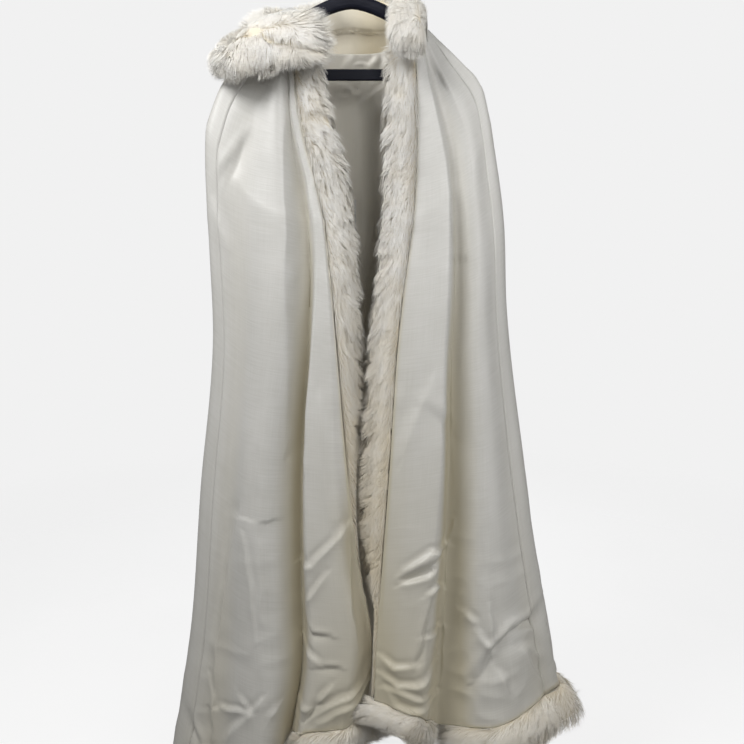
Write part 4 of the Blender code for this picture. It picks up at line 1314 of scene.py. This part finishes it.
def pile_material():
    fur = bpy.context.scene.bridal_cape_fur
    shader = Shader("cream_pile", Roughness=0.65, Specular_IOR_Level=0.3)
    shader.feed(Sheen_Weight=0.25, Sheen_Roughness=0.5)
    height, tuft = shader.attribute("height"), shader.attribute("tuft")
    cloudy = shader.noise(shader.place(), 26, 2)
    # Height paints shade towards the roots and in hollows; tufts and mottling vary the tone at random
    tone = (height * 0.6 + (tuft - 0.5) * 0.2 + (cloudy - 0.5) * 0.6 + 0.35).clamped()
    shader.feed(Base_Color=shader.mixed(rgba(fur.root_painted_shade), rgba(fur.tip_colour), tone))
    return shader.material


def backing_material():
    fur = bpy.context.scene.bridal_cape_fur
    shader = Shader("fur_backing", Roughness=0.9, Sheen_Weight=0.2)
    fluff = shader.noise(shader.place(), 420, 3)
    broad = shader.noise(shader.place(), 60, 2)
    # The backing takes the roots' painted shade, a little darker and mottled at random
    deep = tuple(0.9 * value for value in fur.root_painted_shade)
    tone = (fluff * 0.5 + broad * 0.5).clamped()
    shader.feed(Base_Color=shader.mixed(rgba(deep), rgba(fur.root_painted_shade), tone))
    shader.feed(Normal=shader.bump(fluff, 0.6, 0.002))
    return shader.material


def plastic_material():
    hanger = bpy.context.scene.bridal_cape_hanger
    shader = Shader("moulded_plastic", Specular_IOR_Level=0.22)
    place = shader.place()
    scuffs = shader.noise(shader.stretched(place, 30, 200, 200), 1, 4)
    grain = shader.noise(place, 900, 2)
    worn = tuple(2.2 * value + 0.01 for value in hanger.plastic)
    colour = shader.mixed(rgba(hanger.plastic), rgba(worn), (scuffs**3).clamped())
    shader.feed(Base_Color=colour, Roughness=(scuffs - 0.5) * 0.35 + 0.48)
    shader.feed(Normal=shader.bump(grain, 0.08, 0.0004))
    return shader.material


def wire_material():
    shader = Shader("zinc_wire", Metallic=1.0)
    place = shader.place()
    drawn = shader.noise(shader.stretched(place, 900, 900, 60), 1, 3)
    dull = shader.noise(place, 120, 3)
    colour = shader.mixed((0.42, 0.43, 0.44, 1), (0.66, 0.66, 0.65, 1), dull)
    shader.feed(Base_Color=colour, Roughness=(drawn - 0.5) * 0.25 + (dull - 0.5) * 0.2 + 0.32)
    shader.feed(Normal=shader.bump(drawn, 0.1, 0.0003))
    return shader.material


def colour_setting(name, description, default):
    return bpy.props.FloatVectorProperty(
        name=name, description=description, default=default, subtype="COLOR", size=3, min=0, max=1
    )


def amount(name, description, default, **limits):
    return bpy.props.FloatProperty(name=name, description=description, default=default, **limits)


class ClothSettings(bpy.types.PropertyGroup):
    satin: colour_setting("Satin", "The satin's lit colour", (0.70, 0.69, 0.66))
    satin_shade: colour_setting("Satin shade", "The satin's darker threads", (0.58, 0.57, 0.53))
    # The colour painted as shade in folds, beside the fur and low down
    satin_painted_shade: colour_setting("Satin hollow", "The satin deep in a fold", (0.53, 0.48, 0.35))
    lining: colour_setting("Lining", "The lining's colour", (0.90, 0.86, 0.76))
    # The lining's colour painted as shade in its hollows, low down and over the hood's lining
    lining_painted_shade: colour_setting("Warm lining", "The lining in its hollows", (0.86, 0.76, 0.54))
    roughness: amount("Roughness", "How dull the satin is", 0.36, min=0, max=1, subtype="FACTOR")


class FurSettings(bpy.types.PropertyGroup):
    pile: amount("Pile", "How long the fur's hairs are", 0.027, min=0.004, max=0.05, unit="LENGTH")
    hair: amount("Lock", "How wide one lock of hairs is", 0.0010, min=0.0003, max=0.004, unit="LENGTH")
    tuft: amount("Tuft", "How wide a tuft of locks is", 0.010, min=0.004, max=0.04, unit="LENGTH")
    overhang: amount("Overhang", "How far tips stand out of the strip's section", 1.30, min=1, max=1.6)
    density: amount("Density", "Share of the full number of locks", 1, min=0.05, max=1, subtype="FACTOR")
    tip_colour: colour_setting("Tips", "The colour of the tips", (0.95, 0.935, 0.895))
    # The roots' colour is painted shade deep in the pile; the backing takes it too
    root_painted_shade: colour_setting("Roots", "The colour of the roots", (0.86, 0.78, 0.62))


class HangerSettings(bpy.types.PropertyGroup):
    plastic: colour_setting("Plastic", "The hanger's colour", (0.005, 0.006, 0.013))


class StageSettings(bpy.types.PropertyGroup):
    floor_drop: amount("Floor drop", "How far the floor is below the lowest fur", 0.05, unit="LENGTH")
    key_power: amount("Key light", "The large light's power", 26.5, unit="POWER")
    front_power: amount("Front light", "The power of the light in front", 14, unit="POWER")
    side_power: amount("Side light", "The power of the light on the viewer's right", 4.5, unit="POWER")
    back_power: amount("Back light", "The power of the light behind", 34, unit="POWER")
    ambient: amount("Ambient", "How bright the light from all round is", 0.17, min=0, max=2)


class CAPE_OT_hanger(bpy.types.Operator):
    """Finishes the hanger's arms and trouser bar, and bends its wire hook"""

    bl_idname = "bridal_cape.hanger"
    bl_label = "Hanger"

    def execute(self, context):
        for name in ("hanger_arms", "hanger_bar"):
            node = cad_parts[name]
            node.data.materials.clear()
            node.data.materials.append(material_of("moulded_plastic"))
        finish_piece("hook_wire", wire(hook_path()), "zinc_wire", "hanger_hook")
        return {"FINISHED"}


def hook_path():
    """The middle of the hook's wire: most of a ring, a soft bend and a straight shank down to the arms."""
    centre = Vector((0, 0, HOOK_WIRE / 2 - HOOK_RADIUS))
    turns = [math.radians(degrees) for degrees in range(HOOK_START, HOOK_END - 1, -5)]
    path = [centre + HOOK_RADIUS * Vector((math.cos(turn), 0, math.sin(turn))) for turn in turns]
    start, bend, shank = path[-1], Vector((0, 0, HOOK_BEND_Z)), Vector((0, 0, HOOK_SHANK_Z))
    path += [start * (1 - t) ** 2 + bend * 2 * t * (1 - t) + shank * t * t for t in (0.2, 0.4, 0.6, 0.8, 1)]
    return path + [Vector((0, 0, ARM_TOP_CENTRE + GAP))]


def wire(path, sides=14):
    """A round wire along a path in the plane of X and Z."""
    last = len(path) - 1

    def place_point(column, row):
        ahead = (path[min(row + 1, last)] - path[max(row - 1, 0)]).normalized()
        aside = ahead.cross(Vector((0, 1, 0)))
        turn = 2 * math.pi * column / sides
        return path[row] + (aside * math.cos(turn) + Vector((0, 1, 0)) * math.sin(turn)) * HOOK_WIRE / 2

    return closed(grid(sides, last, place_point))


def closed(shape):
    """A rolled-up grid with its long seam joined and its ends filled."""
    bmesh.ops.remove_doubles(shape, verts=shape.verts, dist=1e-6)
    bmesh.ops.holes_fill(shape, edges=[edge for edge in shape.edges if edge.is_boundary], sides=0)
    bmesh.ops.recalc_face_normals(shape, faces=shape.faces)
    return shape


class CAPE_OT_panels(bpy.types.Operator):
    """Hangs the left front, the back and the right front"""

    bl_idname = "bridal_cape.panels"
    bl_label = "Satin panels"

    def execute(self, context):
        panels = {
            "front_left": Panel(0, LEFT_SEAM, 24, (CHEST, 28), (0.55, 52), (1, 164)),
            "back": Panel(LEFT_SEAM, RIGHT_SEAM, 6, (CHEST, 26), (1, 104)),
            "front_right": Panel(RIGHT_SEAM, LAST_FOLD, 29, (CHEST, 28), (0.55, 52), (1, 160)),
        }
        for node, panel in panels.items():
            finish_piece("satin_" + node, panel.sheet(), "ivory_satin", node, WALL)
            keep_cut("satin_" + node, panel.across, panel.fall)
        return {"FINISHED"}


class CAPE_OT_linings(bpy.types.Operator):
    """Lines the back"""

    bl_idname = "bridal_cape.linings"
    bl_label = "Back lining"

    def execute(self, context):
        panel = Panel(LEFT_SEAM, RIGHT_SEAM, 6, (0.07, 34), (CHEST, 16), (1, 84))
        finish_piece("back_lining", panel.sheet(WALL + GAP), "beige_lining", "lining_back", SKIN)
        keep_cut("back_lining", panel.across, panel.fall)
        return {"FINISHED"}


class CAPE_OT_hood(bpy.types.Operator):
    """Lays the hood back, with its lining"""

    bl_idname = "bridal_cape.hood"
    bl_label = "Hood"

    def execute(self, context):
        points = np.array(hood_strips())
        across, fall = running_lengths(points, 0), running_lengths(points, 1)
        finish_piece("satin_hood", hood_sheet(), "ivory_satin", "hood", WALL)
        keep_cut("satin_hood", across, fall)
        finish_piece("lining_of_hood", hood_lining_sheet(), "beige_lining", "hood_lining", SKIN)
        lined = slice(*(HOOD_STRIPS * row for row in HOOD_LINED))
        keep_cut("lining_of_hood", across[lined] - across[lined][:1], fall[lined])
        return {"FINISHED"}


class CAPE_OT_edge_fur(bpy.types.Operator):
    """Sews fur to the hood's edge and to the front edges"""

    bl_idname = "bridal_cape.edge_fur"
    bl_label = "Edge fur"

    def execute(self, context):
        hood = Strip(hood_fur_stations(), HOOD_FUR_ROUND, (True, True))
        add_fur("hood_fur", "fur_hood", hood, 62000, HOOD_COMB, FUR_LINED)
        for side in ("left", "right"):
            strip = Strip(band_stations(side), BAND_ROUND, (True, True))
            add_fur("front_fur_" + side, "fur_front_" + side, strip, 35000, BAND_COMB)
        return {"FINISHED"}


class CAPE_OT_hem_fur(bpy.types.Operator):
    """Sews fur round the hem"""

    bl_idname = "bridal_cape.hem_fur"
    bl_label = "Hem fur"

    def execute(self, context):
        strips = (
            # The fur is cut at the side seams, and to either side of each deep valley
            ("front_left", 0, LEFT_VALLEY - 0.35, (True, True), 8000),
            ("left", LEFT_VALLEY + 0.3, LEFT_SEAM, (True, False), 12000),
            ("back", LEFT_SEAM, RIGHT_SEAM, (False, False), 22000),
            ("right", RIGHT_SEAM, RIGHT_VALLEY - 0.25, (False, True), 12000),
            ("front_right", RIGHT_VALLEY + 0.3, LAST_FOLD, (True, True), 8000),
        )
        for name, first, last, free_ends, locks in strips:
            strip = Strip(hem_stations(first, last), BAND_ROUND, free_ends)
            add_fur("hem_fur_" + name, "fur_hem_" + name, strip, locks, HEM_COMB)
        return {"FINISHED"}


class CAPE_OT_stage(bpy.types.Operator):
    """Lays the floor, and sets the lights and the camera"""

    bl_idname = "bridal_cape.stage"
    bl_label = "Stage"

    def execute(self, context):
        stage = context.scene.bridal_cape_stage
        add_floor(CAD_BOX[0].z - stage.floor_drop)
        for name, (place, target, size) in LIGHTS.items():
            add_light(name, place, target, size, getattr(stage, name + "_power"))
        add_world(stage.ambient)
        camera = bpy.data.cameras.new("camera")
        camera.sensor_width = SENSOR
        camera.lens = SENSOR * CAMERA_FOCAL / PHOTO_WIDTH
        item = add_object("camera", camera)
        item.location = CAMERA_PLACE
        item.rotation_euler = (math.radians(90 - CAMERA_DOWN), 0, 0)
        context.scene.camera = item
        return {"FINISHED"}


# The camera's place, its tilt below the horizon in degrees, its sensor's width in millimetres, and its focal
# length and picture's width in the photo's pixels
CAMERA_PLACE = (0.036, -1.40, -0.521)
CAMERA_DOWN = 9.5
SENSOR = 36
CAMERA_FOCAL, PHOTO_WIDTH = 742, 744
# Where each light stands, what it points at and how wide it is
LIGHTS = {
    "key": ((-1.05, -0.95, 0.70), (-0.05, 0.0, -0.5), 0.8),
    "front": ((0.75, -1.60, 0.40), (0.05, 0.0, -0.55), 1.1),
    "side": ((1.50, -0.75, -0.80), (0.35, 0.0, -0.95), 1.0),
    "back": ((0.4, 2.4, 0.6), (0.0, 0.0, -0.8), 1.6),
}
BACKDROP = (0.88, 0.88, 0.88)
# The floor's radius, and from how far out it fades into the backdrop, by so much in a metre
FLOOR_RADIUS = 3.2
FADE_FROM, FADE = 3.1, 0.55


def add_floor(height):
    """A round floor under the cape, which fades into the backdrop and throws no light on the cape."""
    shape = bmesh.new()
    bmesh.ops.create_circle(shape, cap_ends=True, segments=96, radius=FLOOR_RADIUS)
    bmesh.ops.translate(shape, verts=shape.verts, vec=(0, 0, height))
    mesh = bpy.data.meshes.new("floor")
    shape.to_mesh(mesh)
    shape.free()
    mesh.materials.append(floor_material())
    floor = add_object("floor", mesh)
    floor.visible_diffuse = False
    floor.visible_glossy = False


def floor_material():
    shader = Shader("pale_floor", Roughness=0.8, Specular_IOR_Level=0.2)
    shader.feed(Emission_Color=rgba(BACKDROP), Emission_Strength=0.81)
    place = shader.place()
    flat = {0: shader.stretched(place, 1, 1, 0)}
    distance = shader.node("ShaderNodeVectorMath", {"operation": "LENGTH"}, flat, "Value")
    mottle = shader.noise(place, 3, 3)
    shader.feed(Base_Color=shader.mixed((0.28, 0.28, 0.28, 1), (0.32, 0.32, 0.32, 1), mottle))
    shader.feed(Alpha=((FADE_FROM - distance) * FADE).clamped())
    return shader.material


def add_light(name, place, target, size, power):
    light = bpy.data.lights.new(name, "AREA")
    light.energy = power
    light.size = size
    item = add_object(name, light)
    item.location = place
    item.rotation_euler = (Vector(target) - Vector(place)).to_track_quat("-Z", "Y").to_euler()


def add_world(ambient):
    """A pale backdrop, which lights the cape less than it shows."""
    world = bpy.data.worlds.new("studio")
    world.use_nodes = True
    tree = world.node_tree
    background = tree.nodes["Background"]
    background.inputs["Color"].default_value = rgba(BACKDROP)
    background.inputs["Strength"].default_value = ambient
    seen = tree.nodes.new("ShaderNodeBackground")
    seen.inputs["Color"].default_value = rgba(BACKDROP)
    path = tree.nodes.new("ShaderNodeLightPath")
    either = tree.nodes.new("ShaderNodeMixShader")
    tree.links.new(path.outputs["Is Camera Ray"], either.inputs[0])
    tree.links.new(background.outputs[0], either.inputs[1])
    tree.links.new(seen.outputs[0], either.inputs[2])
    tree.links.new(either.outputs[0], tree.nodes["World Output"].inputs["Surface"])
    bpy.context.scene.world = world
    bpy.context.scene.view_settings.view_transform = "Standard"


MATERIALS = {
    "ivory_satin": satin_material,
    "beige_lining": lining_material,
    "cream_pile": pile_material,
    "fur_backing": backing_material,
    "moulded_plastic": plastic_material,
    "zinc_wire": wire_material,
}
SETTINGS = (
    ("bridal_cape_cloth", ClothSettings),
    ("bridal_cape_fur", FurSettings),
    ("bridal_cape_hanger", HangerSettings),
    ("bridal_cape_stage", StageSettings),
)
OPERATORS = (
    CAPE_OT_hanger,
    CAPE_OT_panels,
    CAPE_OT_linings,
    CAPE_OT_hood,
    CAPE_OT_edge_fur,
    CAPE_OT_hem_fur,
    CAPE_OT_stage,
)


class CAPE_PT_panel(bpy.types.Panel):
    """Lists the cape's settings and its operators"""

    bl_idname = "CAPE_PT_panel"
    bl_label = "Bridal Cape"
    bl_space_type = "VIEW_3D"
    bl_region_type = "UI"
    bl_category = "Bridal Cape"

    def draw(self, context):
        for name, group in SETTINGS:
            box = self.layout.box()
            for prop in group.__annotations__:
                box.prop(getattr(context.scene, name), prop)
        for operator in OPERATORS:
            self.layout.operator(operator.bl_idname)


def register():
    for name, group in SETTINGS:
        bpy.utils.register_class(group)
        setattr(bpy.types.Scene, name, bpy.props.PointerProperty(type=group))
    for operator in OPERATORS:
        bpy.utils.register_class(operator)
    bpy.utils.register_class(CAPE_PT_panel)


def unregister():
    bpy.utils.unregister_class(CAPE_PT_panel)
    for operator in reversed(OPERATORS):
        bpy.utils.unregister_class(operator)
    for name, group in reversed(SETTINGS):
        delattr(bpy.types.Scene, name)
        bpy.utils.unregister_class(group)


def main():
    register()
    bpy.ops.bridal_cape.hanger()
    bpy.ops.bridal_cape.panels()
    bpy.ops.bridal_cape.linings()
    bpy.ops.bridal_cape.hood()
    bpy.ops.bridal_cape.edge_fur()
    bpy.ops.bridal_cape.hem_fur()
    bpy.ops.bridal_cape.stage()


if __name__ == "__main__":
    main()
